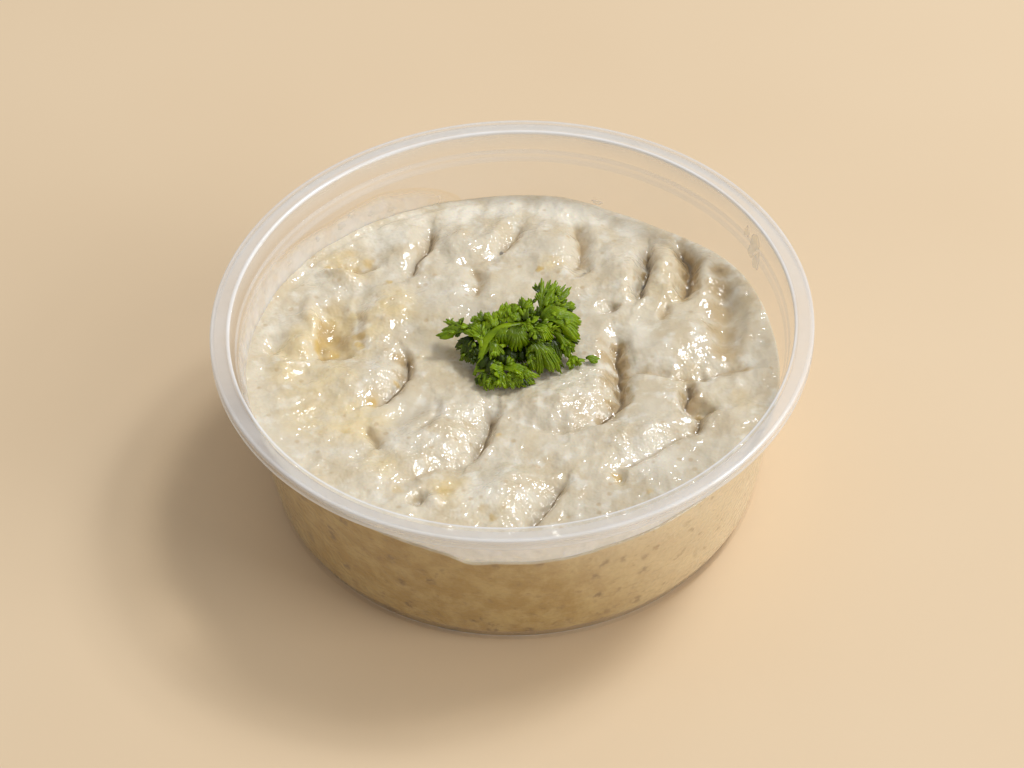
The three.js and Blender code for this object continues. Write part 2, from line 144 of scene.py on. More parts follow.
def tub_section():
    """The tub's section: up the outside from the axis, over the rim, and down the inside."""
    outer_floor = wall_radius(0) + WALL
    ring_inside = outer_floor - FLOOR_CORNER - FOOT_RING_WIDTH
    skirt_foot = TUB_HEIGHT - SKIRT_DEPTH
    under_rim = TUB_HEIGHT - WALL
    return rounded([
        (0, FOOT_RING_STEP, 0, WALL_HAZE),
        (ring_inside, FOOT_RING_STEP, 0.3, WALL_HAZE),
        (ring_inside + FOOT_RING_STEP, 0, 0.3, WALL_HAZE),
        (outer_floor, 0, FLOOR_CORNER, WALL_HAZE),
        (LEDGE_FOOT[0] + WALL, LEDGE_FOOT[1] - WALL, 0.4, 0.1),
        (LEDGE_TOP[0] + WALL, LEDGE_TOP[1] - WALL, 0.4, 0.08),
        (MOUTH_RADIUS + WALL, under_rim, 0.35, 0.35),
        (RIM_RADIUS - WALL, under_rim, 0.4, 0.4),
        (RIM_RADIUS - WALL, skirt_foot, 0.15, 0.25),
        (RIM_RADIUS, skirt_foot, 0.2, 0.6),
        (RIM_RADIUS, TUB_HEIGHT - 0.9, 0, RIM_HAZE),
        (RIM_RADIUS, TUB_HEIGHT, 0.8, 0.5),
        (RIM_RADIUS - 1, TUB_HEIGHT, 0, RIM_HAZE),
        (MOUTH_RADIUS + 0.7, TUB_HEIGHT, 0, RIM_HAZE),
        (MOUTH_RADIUS, TUB_HEIGHT, 0.4, 0.75),
        (MOUTH_RADIUS - 0.12, TUB_HEIGHT - 0.7, 0, WALL_HAZE),
        (LEDGE_TOP[0] + 0.1, LEDGE_TOP[1] + 0.5, 0, WALL_HAZE),
        (LEDGE_TOP[0], LEDGE_TOP[1], 0.4, 0.3),
        (LEDGE_TOP[0] - 0.4, LEDGE_TOP[1] - 0.7, 0, 0.1),
        (LEDGE_FOOT[0], LEDGE_FOOT[1], 0.4, 0.25),
        (LEDGE_FOOT[0] - 0.1, LEDGE_FOOT[1] - 0.6, 0, WALL_HAZE),
        (FLOOR_EDGE[0], FLOOR_EDGE[1], FLOOR_CORNER, WALL_HAZE),
        (0, FLOOR_EDGE[1], 0, WALL_HAZE),
    ])


class Graph:
    """A material's nodes, with short calls for the ones that the materials here share."""

    def __init__(self, name):
        self.material = bpy.data.materials.new(name)
        self.material.use_nodes = True
        self.nodes = self.material.node_tree.nodes
        self.links = self.material.node_tree.links
        self.shader = self.nodes["Principled BSDF"]
        self.place = self.nodes.new("ShaderNodeTexCoord").outputs["Object"]

    def put(self, socket, value):
        """Links a socket to a node's output, or sets it to a number or a colour."""
        if isinstance(value, bpy.types.NodeSocket):
            self.links.new(value, socket)
        elif isinstance(value, tuple):
            socket.default_value = (*value, 1)
        else:
            socket.default_value = value

    def noise(self, size, detail=2.0, rough=0.5):
        """Soft noise whose features are about as large as size, in millimetres."""
        node = self.nodes.new("ShaderNodeTexNoise")
        self.put(node.inputs["Vector"], self.place)
        self.put(node.inputs["Scale"], 1000 / size)
        self.put(node.inputs["Detail"], detail)
        self.put(node.inputs["Roughness"], rough)
        return node.outputs["Fac"]

    def cells(self, size):
        """Distance to the middle of scattered cells, and a random colour for each cell."""
        node = self.nodes.new("ShaderNodeTexVoronoi")
        self.put(node.inputs["Vector"], self.place)
        self.put(node.inputs["Scale"], 1000 / size)
        return node.outputs["Distance"], node.outputs["Color"]

    def span(self, value, low, high, to_low=0.0, to_high=1.0):
        """Smooth step of a value from low to high."""
        node = self.nodes.new("ShaderNodeMapRange")
        node.interpolation_type = "SMOOTHSTEP"
        self.put(node.inputs["Value"], value)
        self.put(node.inputs["From Min"], low)
        self.put(node.inputs["From Max"], high)
        self.put(node.inputs["To Min"], to_low)
        self.put(node.inputs["To Max"], to_high)
        return node.outputs["Result"]

    def times(self, one, other):
        """One value times another."""
        node = self.nodes.new("ShaderNodeMath")
        node.operation = "MULTIPLY"
        self.put(node.inputs[0], one)
        self.put(node.inputs[1], other)
        return node.outputs[0]

    def tint(self, base, colour, share):
        """Mixes a colour into a base colour by a share."""
        node = self.nodes.new("ShaderNodeMix")
        node.data_type = "RGBA"
        self.put(node.inputs["Factor"], share)
        self.put(node.inputs["A"], base)
        self.put(node.inputs["B"], colour)
        return node.outputs["Result"]

    def mark(self, name):
        """Reads a number that the points of the piece carry."""
        node = self.nodes.new("ShaderNodeAttribute")
        node.attribute_name = name
        return node.outputs["Fac"]

    def marked(self, name, low, high, to_low=0.0, to_high=1.0):
        """Smooth step of a number that the points of the piece carry."""
        return self.span(self.mark(name), low, high, to_low, to_high)

    def bump(self, height, depth, strength=1.0, onto=None):
        """Relief of a depth in millimetres, on the surface or onto another bump."""
        node = self.nodes.new("ShaderNodeBump")
        self.put(node.inputs["Height"], height)
        self.put(node.inputs["Distance"], depth * MM)
        self.put(node.inputs["Strength"], strength)
        if onto:
            self.put(node.inputs["Normal"], onto)
        return node.outputs["Normal"]

    def see_through(self, cover, tone):
        """Lets light pass the surface, tinted by tone, except for the covering share."""
        clear = self.nodes.new("ShaderNodeBsdfTransparent")
        self.put(clear.inputs["Color"], tone)
        mix = self.nodes.new("ShaderNodeMixShader")
        self.put(mix.inputs["Fac"], cover)
        self.links.new(clear.outputs["BSDF"], mix.inputs[1])
        self.links.new(self.shader.outputs["BSDF"], mix.inputs[2])
        self.links.new(mix.outputs["Shader"], self.nodes["Material Output"].inputs["Surface"])


def clear_plastic():
    """Clear polypropylene: see-through, milky where it is thick, with a slightly wavy gloss."""
    graph = Graph("clear polypropylene")
    shader = graph.shader
    graph.put(shader.inputs["Base Color"], MILKY_TONE)
    graph.put(shader.inputs["Roughness"], 0.2)
    graph.put(shader.inputs["IOR"], 1.9)
    graph.put(shader.inputs["Normal"], graph.bump(graph.noise(14, 2.0), 0.12))
    streaks = graph.span(graph.noise(9, 3.0), 0.3, 0.7, 0.88, 1.12)
    graph.see_through(graph.times(graph.mark("haze"), streaks), CLEAR_TONE)
    return graph.material


deli_tub = turned("deli_tub", tub_section(), TUB_TURNS)
deli_tub.data.materials.append(clear_plastic())
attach(deli_tub, "root")
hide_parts("tub")


# ---------------------------------------------------------------------------------------------
# Dip. Mashed roasted aubergine with tahini: a thick, wet, lumpy paste. It fills the tub up to the
# level where the spoon stopped, and the spoon's last strokes leave mounds, hollows and creases.
# One fine height field makes the surface, and its side reaches just into the wall.
# ---------------------------------------------------------------------------------------------
# Level of the dip at its middle, and radius of its edge, in millimetres.
DIP_LEVEL = 28.4
DIP_EDGE = 52.5

# Height of the dip's edge in millimetres, every 15 degrees from the right round by the back.
WALL_LEVELS = [
    26, 26.5, 26.6, 24.7, 23.6, 24.8, 24.9, 25.3, 26.3, 27, 28.1, 28.5,
    29.7, 30.3, 30.4, 30.3, 30.4, 28.4, 27, 27.7, 28.4, 28.8, 28.4, 27,
]

# How far the dip reaches into the wall and the floor, and how round its lower edge is.
INTO_WALL = 0.4
INTO_FLOOR = 0.8
LOWER_EDGE = 1.2
SURFACE_CELLS = 280
SIDE_ROWS = 12

# Mounds (+) and hollows (-), in millimetres:
# centre x, centre y, half length, half width, heading in degrees, height.
MOUNDS = [
    (-17, -20, 13, 9, 60, 1.3), (10, -11, 12, 9, 40, 1.4), (-31, -4, 12, 8, 0, 1.2),
    (-2, -36, 11, 8, 60, 1.5), (-21, 36, 10, 7, 100, 1.2), (-7, 35, 8, 7, 60, 1),
    (9, 32, 11, 7, 90, 1), (23, 26, 11, 6, 90, 1), (31, 26, 11, 4, 90, 1.6),
    (32, 5, 11, 9, 20, 1), (25, -20, 10, 6, 25, 0.8), (-25, 17, 10, 6, 90, 1.3),
    (-42, 11, 9, 5, 100, 1), (-15, 16, 9, 8, 0, 0.7), (-16.5, -37, 3, 2.5, 0, 0.9),
    (-34.6, 11.5, 9, 4.8, 92, -2.6), (42.4, 11, 20, 5, 90, -2.3), (35.4, -14.4, 3.4, 2.6, 30, -3.2),
    (-41, -2, 5, 3.5, 0, -0.9), (-21, -13, 9, 4, 50, -0.9), (0, 2, 15, 10, 10, -0.9),
    (19.5, 14.5, 2.5, 2.5, 0, -1), (-19.5, -36, 2.6, 2.4, 0, -1.3),
    (18.8, -32.3, 3.2, 2.4, 100, -1.5), (-9.5, -52.5, 5, 6, 0, -1.2), (-37, 28.5, 3, 2.4, 0, 0.9),
    (-33, 26, 4.5, 3, 0, 0.8), (-11, 36, 5, 3.6, 60, 0.8), (-3, 38.5, 4, 2.6, 60, 0.9),
    (-39.8, 15, 8, 2.6, 100, 1.3), (-42, 6, 4.5, 2.8, 70, 1.1), (-47, 7, 4, 2.8, 60, -1.3),
    (-45, 1, 6, 1.6, 5, 0.8), (-35, 27.5, 5, 2, -10, 0.9), (40.5, 24, 8, 3.6, 100, 1),
]

# Creases where one spoonful overlaps the next, in millimetres:
# start x, y, end x, y, bow to the left, depth, width of the round side, width of the steep side.
CREASES = [
    (-15.3, 42, -21.5, 26, 0.9, 2.6, 5, 2.2), (3.5, 41, -3, 32, 1, 1.8, 5, 2),
    (13, 42.5, 12.6, 25, 1.6, 2, 3.5, 4), (16, 27.5, 13, 24, 0.3, 1.2, 2, 1.8),
    (28.8, 35, 25.4, 16.5, 0.9, 3.4, 4.2, 1.3), (33.8, 36.5, 34, 16.5, 2, 3.4, 2.8, 3),
    (20.3, 7, 20.9, -9, 0.2, 3.2, 5, 3.4), (21, -6, 14.5, -18, 2.4, 2.6, 5, 2.4),
    (47, -3.4, 38.5, -4.6, -0.9, 1.7, 4.5, 2), (39, -4.6, 31.5, -4.2, 0.9, 1.8, 4.5, 2.2),
    (32, -5.2, 22, -3.2, -0.7, 1.7, 4, 2.4), (34, -6, 33.2, -15, 0.2, 2.8, 2.8, 1.8),
    (38.4, -12.8, 33.4, -20.2, 0.5, 2.4, 2, 2.2), (-3.4, -12, -9.2, -26.5, -0.2, 3.4, 6, 2),
    (-21.2, 5.5, -28, -10, 3.3, 2.7, 5, 1.8), (8.8, -33, 0.5, -44, 0.8, 3, 6, 2),
    (-30, -17, -27, -22.5, 0.3, 1.6, 2.2, 2), (32, 15.5, 29.5, 10.8, 0.3, 1.5, 2, 1.8),
    (21, 16, 18.6, 13, 0.2, 1.4, 2, 1.8), (36, -19.5, 17.5, -30.5, 0.4, 1.5, 4.5, 1.8),
    (-25.5, 31.5, -37.5, 29.5, 1.6, 1.5, 3, 2.2), (-7.2, 29, -7.2, 19, 0.5, 1.5, 4, 3),
    (-1, 31, -11, 29.5, 0, 0.9, 4, 1.8), (15.5, -18.5, 2, -18, 0.6, 0.9, 3, 2),
    (-9.5, -27.5, -22, -31.5, -0.8, 1, 5, 3.5), (-38.3, 15.5, -38, 4.4, 0, 1.5, 1.2, 3.4),
    (-31, 18, -30.2, 5.2, 0.3, 1.1, 3, 1.8), (-31, 5, -39.5, 4.4, 0, 1.6, 3.5, 1.7),
    (-15.5, -9, -20, -19, 2.2, 0.9, 4, 1.7), (-18.5, -35.3, -22, -36.6, 0.2, 1.3, 2, 1.6),
]

# How far the painted shade beside a crease spreads over its round and its steep side, in millimetres, and
# the depth from which a crease gets all of that shade.
CREASE_SHADE_SPREAD = (0.7, 2.8)
CREASE_SHADE_DEPTH = 2.5

# Relief of the mashed pulp in millimetres: how far a stroke wanders aside, and how high the broad
# swells, the lumps, the crumbs and the grains stand.
WANDER = 1.1
SWELLS = 0.7
LUMPS = 0.5
CRUMBS = 0.2
GRAINS = 0.04

# A groove at the back left where the paste has sunk away from the wall: heading and spread in
# degrees, radius, half width and depth in millimetres.
GROOVE_HEADING = 128
GROOVE_SPREAD = 28
GROOVE_RADIUS = 50.4
GROOVE_HALF_WIDTH = 0.8
GROOVE_DEPTH = 0.35

# Places where the back of the spoon left the paste smooth: x, y, radius in millimetres, strength.
CALM_SPOTS = [
    (-22, -10, 8, 1), (11, 33, 6, 0.8), (30, 6, 12, 0.6), (-12, 6, 8, 0.6), (25, -12, 8, 0.8),
    (4, -22, 6, 0.5), (30, -28, 8, 0.5), (2, 24, 8, 0.5), (-46, -20, 9, 0.6), (-44, 22, 8, 0.5),
    (45, 8, 9, 0.7), (16, 10, 6, 0.6),
]

# Places where the wet skin is puckered, so that it glints: x, y, radius in millimetres, strength.
PUCKERED_SPOTS = [
    (0, 39, 6, 0.7), (-12, 36, 6, 0.8), (12, 29, 5, 1), (-8, -15, 6, 1), (-15, -21, 9, 1),
    (-27, -26, 6, 0.9), (-4, -37, 8, 1), (9, -37, 5, 0.5), (14, -9, 8, 1), (24, -21, 7, 0.9),
    (31.5, -11, 4, 1), (-38, 27, 5, 0.8), (-33, 25, 4, 0.8), (-27, 16, 5, 0.8), (-27, 5, 5, 1),
    (-25, -4, 5, 1), (-35, -4, 6, 0.6), (-43, 5, 5, 0.7), (-40, -15, 6, 0.5), (25, 30, 4, 0.6),
    (25, 18, 4, 0.8), (33, 18, 3, 0.6), (36.5, -1.5, 4, 0.4), (10, -17, 6, 0.6), (-38.5, 14, 4, 0.8),
    (24, -33, 6, 0.5), (-19, 20, 4, 0.4), (-33, 33, 5, 0.6), (22, 2, 4, 0.5), (38, -17, 4, 0.6),
    (-17, 34, 4, 0.5), (-8, -29, 5, 0.5), (-15, -36, 4, 0.7), (-13, 8, 4, 0.3), (-5, -10, 5, 0.5),
]


def wall_level(angle):
    """Height of the dip against the wall, a smooth periodic curve round the tub."""
    count = len(WALL_LEVELS)
    place = (angle / (2 * math.pi) * count) % count
    step = np.floor(place).astype(int)
    part = place - step
    levels = np.array(WALL_LEVELS)
    a, b, c, d = (levels[(step + offset) % count] for offset in (-1, 0, 1, 2))
    bend = d - c - a + b
    return bend * part ** 3 + (a - b - bend) * part ** 2 + (c - a) * part + b


def mound_height(x, y, mound):
    """How much a mound or a hollow adds to the height at each point."""
    centre_x, centre_y, half_length, half_width, heading, height = mound
    cos, sin = math.cos(math.radians(heading)), math.sin(math.radians(heading))
    along = ((x - centre_x) * cos + (y - centre_y) * sin) / half_length
    across = ((y - centre_y) * cos - (x - centre_x) * sin) / half_width
    return height * (1 - np.minimum(along ** 2 + across ** 2, 1)) ** 2


def crease_course(crease, steps=12):
    """The course of a crease, as points along a shallow curve."""
    start, end, bow = np.array(crease[0:2]), np.array(crease[2:4]), crease[4]
    way = (end - start) / np.linalg.norm(end - start)
    middle = (start + end) / 2 + 2 * bow * np.array((-way[1], way[0]))
    t = np.linspace(0, 1, steps + 1)[:, None]
    return (1 - t) ** 2 * start + 2 * t * (1 - t) * middle + t ** 2 * end


def crease_bank(x, y, crease):
    """How deep into a crease each point lies, and how much painted shade it gets beside the crease, both
    from 0 to 1.
    """
    course = crease_course(crease)
    round_width, steep_width = crease[6:8]
    nearest, share, side = (np.full(x.shape, value) for value in (1e9, 0.0, 0.0))
    steps = len(course) - 1
    for step in range(steps):
        way = course[step + 1] - course[step]
        to_x, to_y = x - course[step][0], y - course[step][1]
        part = np.clip((to_x * way[0] + to_y * way[1]) / (way @ way), 0, 1)
        distance = np.hypot(to_x - part * way[0], to_y - part * way[1])
        closer = distance < nearest
        nearest = np.where(closer, distance, nearest)
        share = np.where(closer, (step + part) / steps, share)
        side = np.where(closer, way[0] * to_y - way[1] * to_x, side)
    is_round = side < 0
    width = np.where(is_round, round_width, steep_width)
    taper = np.minimum(1, np.minimum(6 * share, 6 * (1 - share)))
    drop = np.maximum(1 - np.hypot(nearest, 0.25) / width, 0)
    # Painted shade: darker close to a crease, and wider on its steep side.
    painted_shade = np.maximum(1 - nearest / np.where(is_round, *CREASE_SHADE_SPREAD), 0) * taper
    steepness = np.where(is_round, 2.0, 1.5)
    return drop ** steepness * (0.3 + 0.7 * taper), painted_shade * min(1, crease[5] / CREASE_SHADE_DEPTH)


def spooned_height(x, y):
    """The spooned surface without its lumps, and the painted shade beside its creases."""
    reach = np.minimum(np.hypot(x, y) / DIP_EDGE, 1)
    height = DIP_LEVEL + (wall_level(np.arctan2(y, x)) - DIP_LEVEL) * reach ** 4
    for mound in MOUNDS:
        height = height + mound_height(x, y, mound)
    crease_shade = np.zeros(x.shape)
    for crease in CREASES:
        bank, painted_shade = crease_bank(x, y, crease)
        height = height - crease[5] * bank
        crease_shade = np.maximum(crease_shade, painted_shade)
    return height, crease_shade


def field(x, y, size, seed):
    """Smooth noise from -1 to 1 at each point, with features of a size in millimetres."""
    return np.array([noise.noise((a / size, b / size, seed)) for a, b in zip(x, y)])


def spots(x, y, places):
    """Soft round spots from 0 to 1 at places given as (x, y, radius, strength)."""
    value = np.zeros(x.shape)
    for centre_x, centre_y, radius, strength in places:
        distance = np.hypot(x - centre_x, y - centre_y) / radius
        value = np.maximum(value, strength * np.maximum(1 - distance ** 2, 0))
    return value


def dip_surface(x, y):
    """Height, painted crease shade and calm mark of the finished surface, all irregular as mashed pulp
    is.
    """
    calm = spots(x, y, CALM_SPOTS)
    inward = np.clip((DIP_EDGE - np.hypot(x, y)) / 3, 0, 1)
    shift = inward * WANDER
    bent_x = x + shift * field(x, y, 6, 2.7) + shift * 0.45 * field(x, y, 2.2, 12.1)
    bent_y = y + shift * field(x, y, 6, 7.9) + shift * 0.45 * field(x, y, 2.2, 15.6)
    height, crease_shade = spooned_height(bent_x, bent_y)
    swell = SWELLS * field(x, y, 8, 3.1)
    pulp = LUMPS * (0.35 - np.abs(field(x, y, 4.2, 8.4))) + CRUMBS * field(x, y, 2.1, 4.4)
    grains = GRAINS * field(x, y, 0.95, 5.2)
    aside = np.abs(np.degrees(np.arctan2(y, x)) - GROOVE_HEADING) / GROOVE_SPREAD
    back_left = np.clip(1.6 - aside, 0, 1)
    across_groove = (np.hypot(x, y) - GROOVE_RADIUS) / GROOVE_HALF_WIDTH
    groove = GROOVE_DEPTH * np.exp(-across_groove ** 2) * back_left
    height = height + (0.35 + 0.65 * inward) * (swell + (1 - 0.75 * calm) * (pulp + grains)) - groove
    return height, crease_shade, calm


def disc_grid(cells):
    """A square grid bent into a unit disc, so that its cells stay of one size."""
    line = np.linspace(-1, 1, cells + 1)
    a, b = np.meshgrid(line, line)
    wide = np.abs(a) > np.abs(b)
    safe_a, safe_b = np.where(a == 0, 1, a), np.where(b == 0, 1, b)
    radius = np.where(wide, a, b)
    turn = np.where(wide, math.pi / 4 * b / safe_a, math.pi / 2 - math.pi / 4 * a / safe_b)
    return (radius * np.cos(turn)).ravel(), (radius * np.sin(turn)).ravel()


def square_border(stride, rows):
    """The points round a grid, in order."""
    border = list(range(stride - 1))
    border += [row * stride + stride - 1 for row in range(rows - 1)]
    border += [rows * stride - 1 - column for column in range(stride - 1)]
    border += [row * stride for row in range(rows - 1, 0, -1)]
    return border


def dip_mesh():
    """The surface, the side that presses into the tub's wall, and the underside."""
    unit_x, unit_y = disc_grid(SURFACE_CELLS)
    angle = np.arctan2(unit_y, unit_x)
    stride = SURFACE_CELLS + 1
    border = square_border(stride, stride)
    edge = wall_radius(wall_level(angle)) + INTO_WALL
    at_border, _, _ = dip_surface((edge * np.cos(angle))[border], (edge * np.sin(angle))[border])
    turns = np.argsort(angle[border])
    border_edge = wall_radius(at_border[turns]) + INTO_WALL
    edge = np.interp(angle, angle[border][turns], border_edge, period=2 * math.pi)
    x, y = unit_x * edge, unit_y * edge
    height, crease_shade, calm = dip_surface(x, y)
    points = list(zip(x, y, height))
    faces = []
    for row in range(SURFACE_CELLS):
        for column in range(SURFACE_CELLS):
            a = row * stride + column
            faces.append((a, a + 1, a + 1 + stride, a + stride))
    bottom = FLOOR_EDGE[1] - INTO_FLOOR
    ring = border
    for row in range(1, SIDE_ROWS + 1):
        share = (row / SIDE_ROWS) ** 1.6
        base = len(points)
        for vertex in border:
            z = height[vertex] * (1 - share) + bottom * share
            corner = max(0.0, 1 - (z - bottom) / LOWER_EDGE)
            drawn_in = LOWER_EDGE * (1 - math.sqrt(max(0.0, 1 - corner ** 2)))
            radius = wall_radius(z) + INTO_WALL - drawn_in
            points.append((radius * math.cos(angle[vertex]), radius * math.sin(angle[vertex]), z))
        below = list(range(base, base + len(border)))
        for index, vertex in enumerate(ring):
            after = (index + 1) % len(ring)
            faces.append((vertex, below[index], below[after], ring[after]))
        ring = below
    points.append((0, 0, bottom))
    for index, vertex in enumerate(ring):
        faces.append((vertex, len(points) - 1, ring[(index + 1) % len(ring)]))
    piece = mesh_piece("baba_ganoush", points, faces)
    rest = len(points) - len(height)
    # The crease mark carries painted shade beside the creases.
    mark(piece, "crease", [*crease_shade, *[0] * rest])
    mark(piece, "calm", [*calm, *[0] * rest])
    mark(piece, "against_wall", [*[0] * len(height), *[1] * rest])
    return piece


# Where olive oil colours the paste: x, y, radius in millimetres, strength. The other spots, of stains, of
# painted shade and of painted light, are given in the same way.
OIL_STAINS = [
    (-33, 11, 11, 1), (-37, -3, 9, 0.7), (-31, -14, 10, 0.8), (-24, 17, 8, 0.8), (-31, 29, 7, 0.5),
    (-40, -14, 8, 0.6), (-13, -34, 6, 0.7), (-26, -27, 6, 0.6), (-5, -41, 6, 0.4), (-43, 6, 7, 0.8),
    (-45, -1, 5, 0.7), (-45, -8, 4, 0.5), (-34, 30, 6, 0.7), (8, 28, 4, 0.7), (35, -4, 5, 0.3),
    (38, -14, 4, 0.5), (-14, 6, 12, 0.45), (2, 20, 12, 0.3), (32, 20, 13, 0.35), (40, -13, 9, 0.3),
    (19, -30, 7, 0.25), (34, 32, 5, 0.4), (47, 12, 7, 0.3),
]

# Smoked paprika and pepper.
PAPRIKA_STAINS = [
    (-36.8, 7, 3, 1.3), (-36.6, 10.5, 2.8, 1.1), (-36.4, 14, 2.2, 0.8), (-37, 5.6, 2.4, 1),
    (-37, 8.4, 2.4, 0.9), (-37, 11.4, 2.2, 0.7), (-36.8, 14.4, 1.8, 0.4), (-30.4, 9.6, 1.5, 0.8),
    (-30.2, 6.8, 1.5, 0.9), (-36.6, 29.8, 1.4, 0.6), (-34, 28.8, 1.6, 0.6), (-31, 29.2, 1.4, 0.5),
    (-28.4, 31, 1.8, 0.5), (-32.4, 34.4, 2.2, 0.45), (-24.2, 24, 1, 1), (-28, -9.5, 1.4, 0.8),
    (-23.3, -3.8, 1.2, 0.8), (-14, -34, 2.2, 0.5), (-23, -34, 1.9, 0.4), (-20, -35.5, 1, 0.3),
    (-33, -18, 1.6, 0.4), (-38, -18, 1.8, 0.4), (-7, -39.5, 1.4, 0.4), (-5, -42, 1.1, 0.7),
    (-3.5, -20, 0.9, 0.5), (6, 26.4, 1, 0.8), (8.5, 29.6, 1.2, 0.4), (46, -3, 1.3, 0.6),
    (35.6, -15, 1.6, 0.7), (33.4, -10, 1.2, 0.4), (19, -31.6, 1.4, 0.7), (25, -37, 1.1, 0.6),
]

# Painted shade, warm brown: in hollows, beside creases, left of the sprig and where the rim shades the
# dip at the right, with some brown juice of the roasted skin.
SHADE_AND_JUICE_STAINS = [
    (13, -15, 3, 0.5), (-9, -16, 2.5, 0.5), (-25, 5, 3, 0.4), (18.6, -4, 2.4, 0.8),
    (-35, 18, 3, 0.5), (20.8, 4, 1.8, 1.6), (21.2, 0, 2, 2), (21.2, -4, 2, 2), (20.6, -8, 1.8, 2),
    (19, -12, 1.6, 1.6), (16.6, -16, 1.5, 1.2), (35.4, 29, 2, 1.8), (36, 25, 2.2, 2),
    (36, 20.6, 2, 1.8), (34.6, -11, 1.8, 1.7), (35.6, -15.4, 1.6, 1.9), (28.2, 31, 1.2, 1.5),
    (27.4, 26, 1.2, 1.8), (42.4, 20, 2.4, 1.5), (42.4, 25, 2, 1.5), (35.2, 31, 3, 0.8),
    (36, 26, 3.2, 0.9), (36.2, 21, 3, 1), (35, 17.6, 2, 0.8), (42.6, 25, 3, 0.9), (42, 20, 3.6, 1),
    (40, -19, 4.5, 0.4), (38, 28, 2.4, 0.8), (46.4, 16, 3, 0.4), (46.6, 6, 3, 0.4),
    (41.6, 14, 4, 1), (41.8, 8, 4, 0.9), (42, 2, 4, 0.8), (44, -4, 3.5, 0.5), (15, 34, 2, 0.7),
    (15, 29, 2, 0.6), (18, 1, 2.4, 0.9), (18, -6, 2.4, 0.8), (17.4, 5, 2, 0.6),
    (-22.4, 3, 2.2, 0.9), (-22, -1.5, 2, 0.7), (39, 15, 5, 0.35), (44, -10, 5, 0.35),
    (39, -20.5, 4, 0.4), (-27.5, -7.5, 3, 0.5), (13, 12, 2, 0.6), (-6, -21, 3, 0.6),
    (14, -13, 3.4, 0.5), (-17.6, 35, 2, 0.6), (0, 35, 3, 0.5), (20, -13, 2.6, 0.5),
    (34.6, -12, 3.6, 0.7), (-6.8, 27, 1.6, 0.5), (-6.6, 22, 1.6, 0.6), (-29, 13, 1.6, 0.6),
    (-33.6, 9, 3.6, 0.8), (30.5, 12.6, 2, 0.6), (-22.5, 8, 4, 0.35), (31, -27, 3, 0.3),
    (-13, 3, 4, 0.35), (17, 5, 5, 0.35), (18.6, -5, 3.4, 0.4), (14, -13, 4, 0.3), (-36, 12, 3, 0.8),
    (-36.5, 18, 2, 0.4), (15, 10, 3, 0.4), (-15, 31, 2.4, 0.3),
]

# Dark grey spots on the creases.
DARK_GREY_SPOTS = [
    (-1.6, 33.2, 0.9, 1), (15.6, 26, 0.6, 1), (27.2, 22.8, 1.1, 1), (26.6, 19.5, 0.6, 0.9),
]

# Paler paste, rich in tahini, and painted light: along the back edge where the rim's shadow falls, on
# banks beside creases and hollows, and as a painted sheen where the wet skin glints.
CREAM_AND_LIGHT_SPOTS = [
    (-10, 46, 5, 1), (14, 45, 5, 1), (0, 48, 5, 0.9), (-9, 48, 5, 0.9), (9, 47, 5, 0.9),
    (18, 44, 5, 0.9), (25, 40, 4, 0.8), (-18, 45, 4, 0.7), (-25, 39, 6, 0.9), (-30, 12, 2.6, 0.8),
    (-29.6, 7, 2.6, 0.8), (-28.5, 18, 3, 0.6), (27, -27, 8, 0.8), (25, 7, 4, 0.7),
    (24, -1, 2.4, 0.6), (-7, -36, 6, 0.8), (25, 5, 4, 0.5), (-47, 10, 4, 0.6), (-22, -21, 6, 0.5),
    (28, 27, 2, 0.6), (-38.4, 28, 3, 0.7), (37, 26, 2, 0.6), (8, -8, 6, 0.4),
]

# How far the edges of the stains are pulled about, and the size of the tatters, in millimetres.
TATTERED = 0.7
TATTER_SIZE = 1.3

# Colours of the paste, of its stains and of its painted light and shade, and of the paste and seeds
# pressed against the wall, with a paler copy of that paste for painted light where the side is lit.
PASTE = (0.69, 0.615, 0.475)
WARM_PASTE = (0.63, 0.53, 0.365)
PALE_PASTE = (0.76, 0.705, 0.59)
OIL = (0.78, 0.61, 0.30)
CREAM_AND_LIGHT = (0.88, 0.83, 0.71)
FLECK = (0.50, 0.34, 0.16)
PAPRIKA = (0.62, 0.415, 0.11)
DEEP_PAPRIKA = (0.36, 0.215, 0.035)
PRESSED = (0.42, 0.27, 0.065)
WARM_PRESSED = (0.53, 0.38, 0.14)
LIT_PRESSED = (0.80, 0.68, 0.46)
DARK_PRESSED = (0.27, 0.16, 0.05)
SEED = (0.2, 0.12, 0.04)

# Brown and black colours, each over the one before: brown painted shade in the hollows and beside the
# creases, darker where it is deepest, and dark grey spots. For each: the mark that it follows, the mark's
# value where the colour begins and where it is full, the share that it hides, and its colour.
STAINS_AND_PAINTED_SHADE = [
    # The tan mark is mostly painted shade, and darker still where its spots overlap.
    ("tan", 0.0, 0.9, 0.75, (0.46, 0.32, 0.14)),
    ("tan", 0.9, 2.0, 0.8, (0.24, 0.155, 0.065)),
    # Painted shade beside the creases, darkest close to them.
    ("crease", 0.0, 0.9, 0.75, (0.44, 0.30, 0.14)),
    ("crease", 0.62, 0.95, 0.85, (0.14, 0.09, 0.035)),
    ("dark_grey_spot", 0.1, 0.7, 0.75, (0.10, 0.10, 0.10)),
]


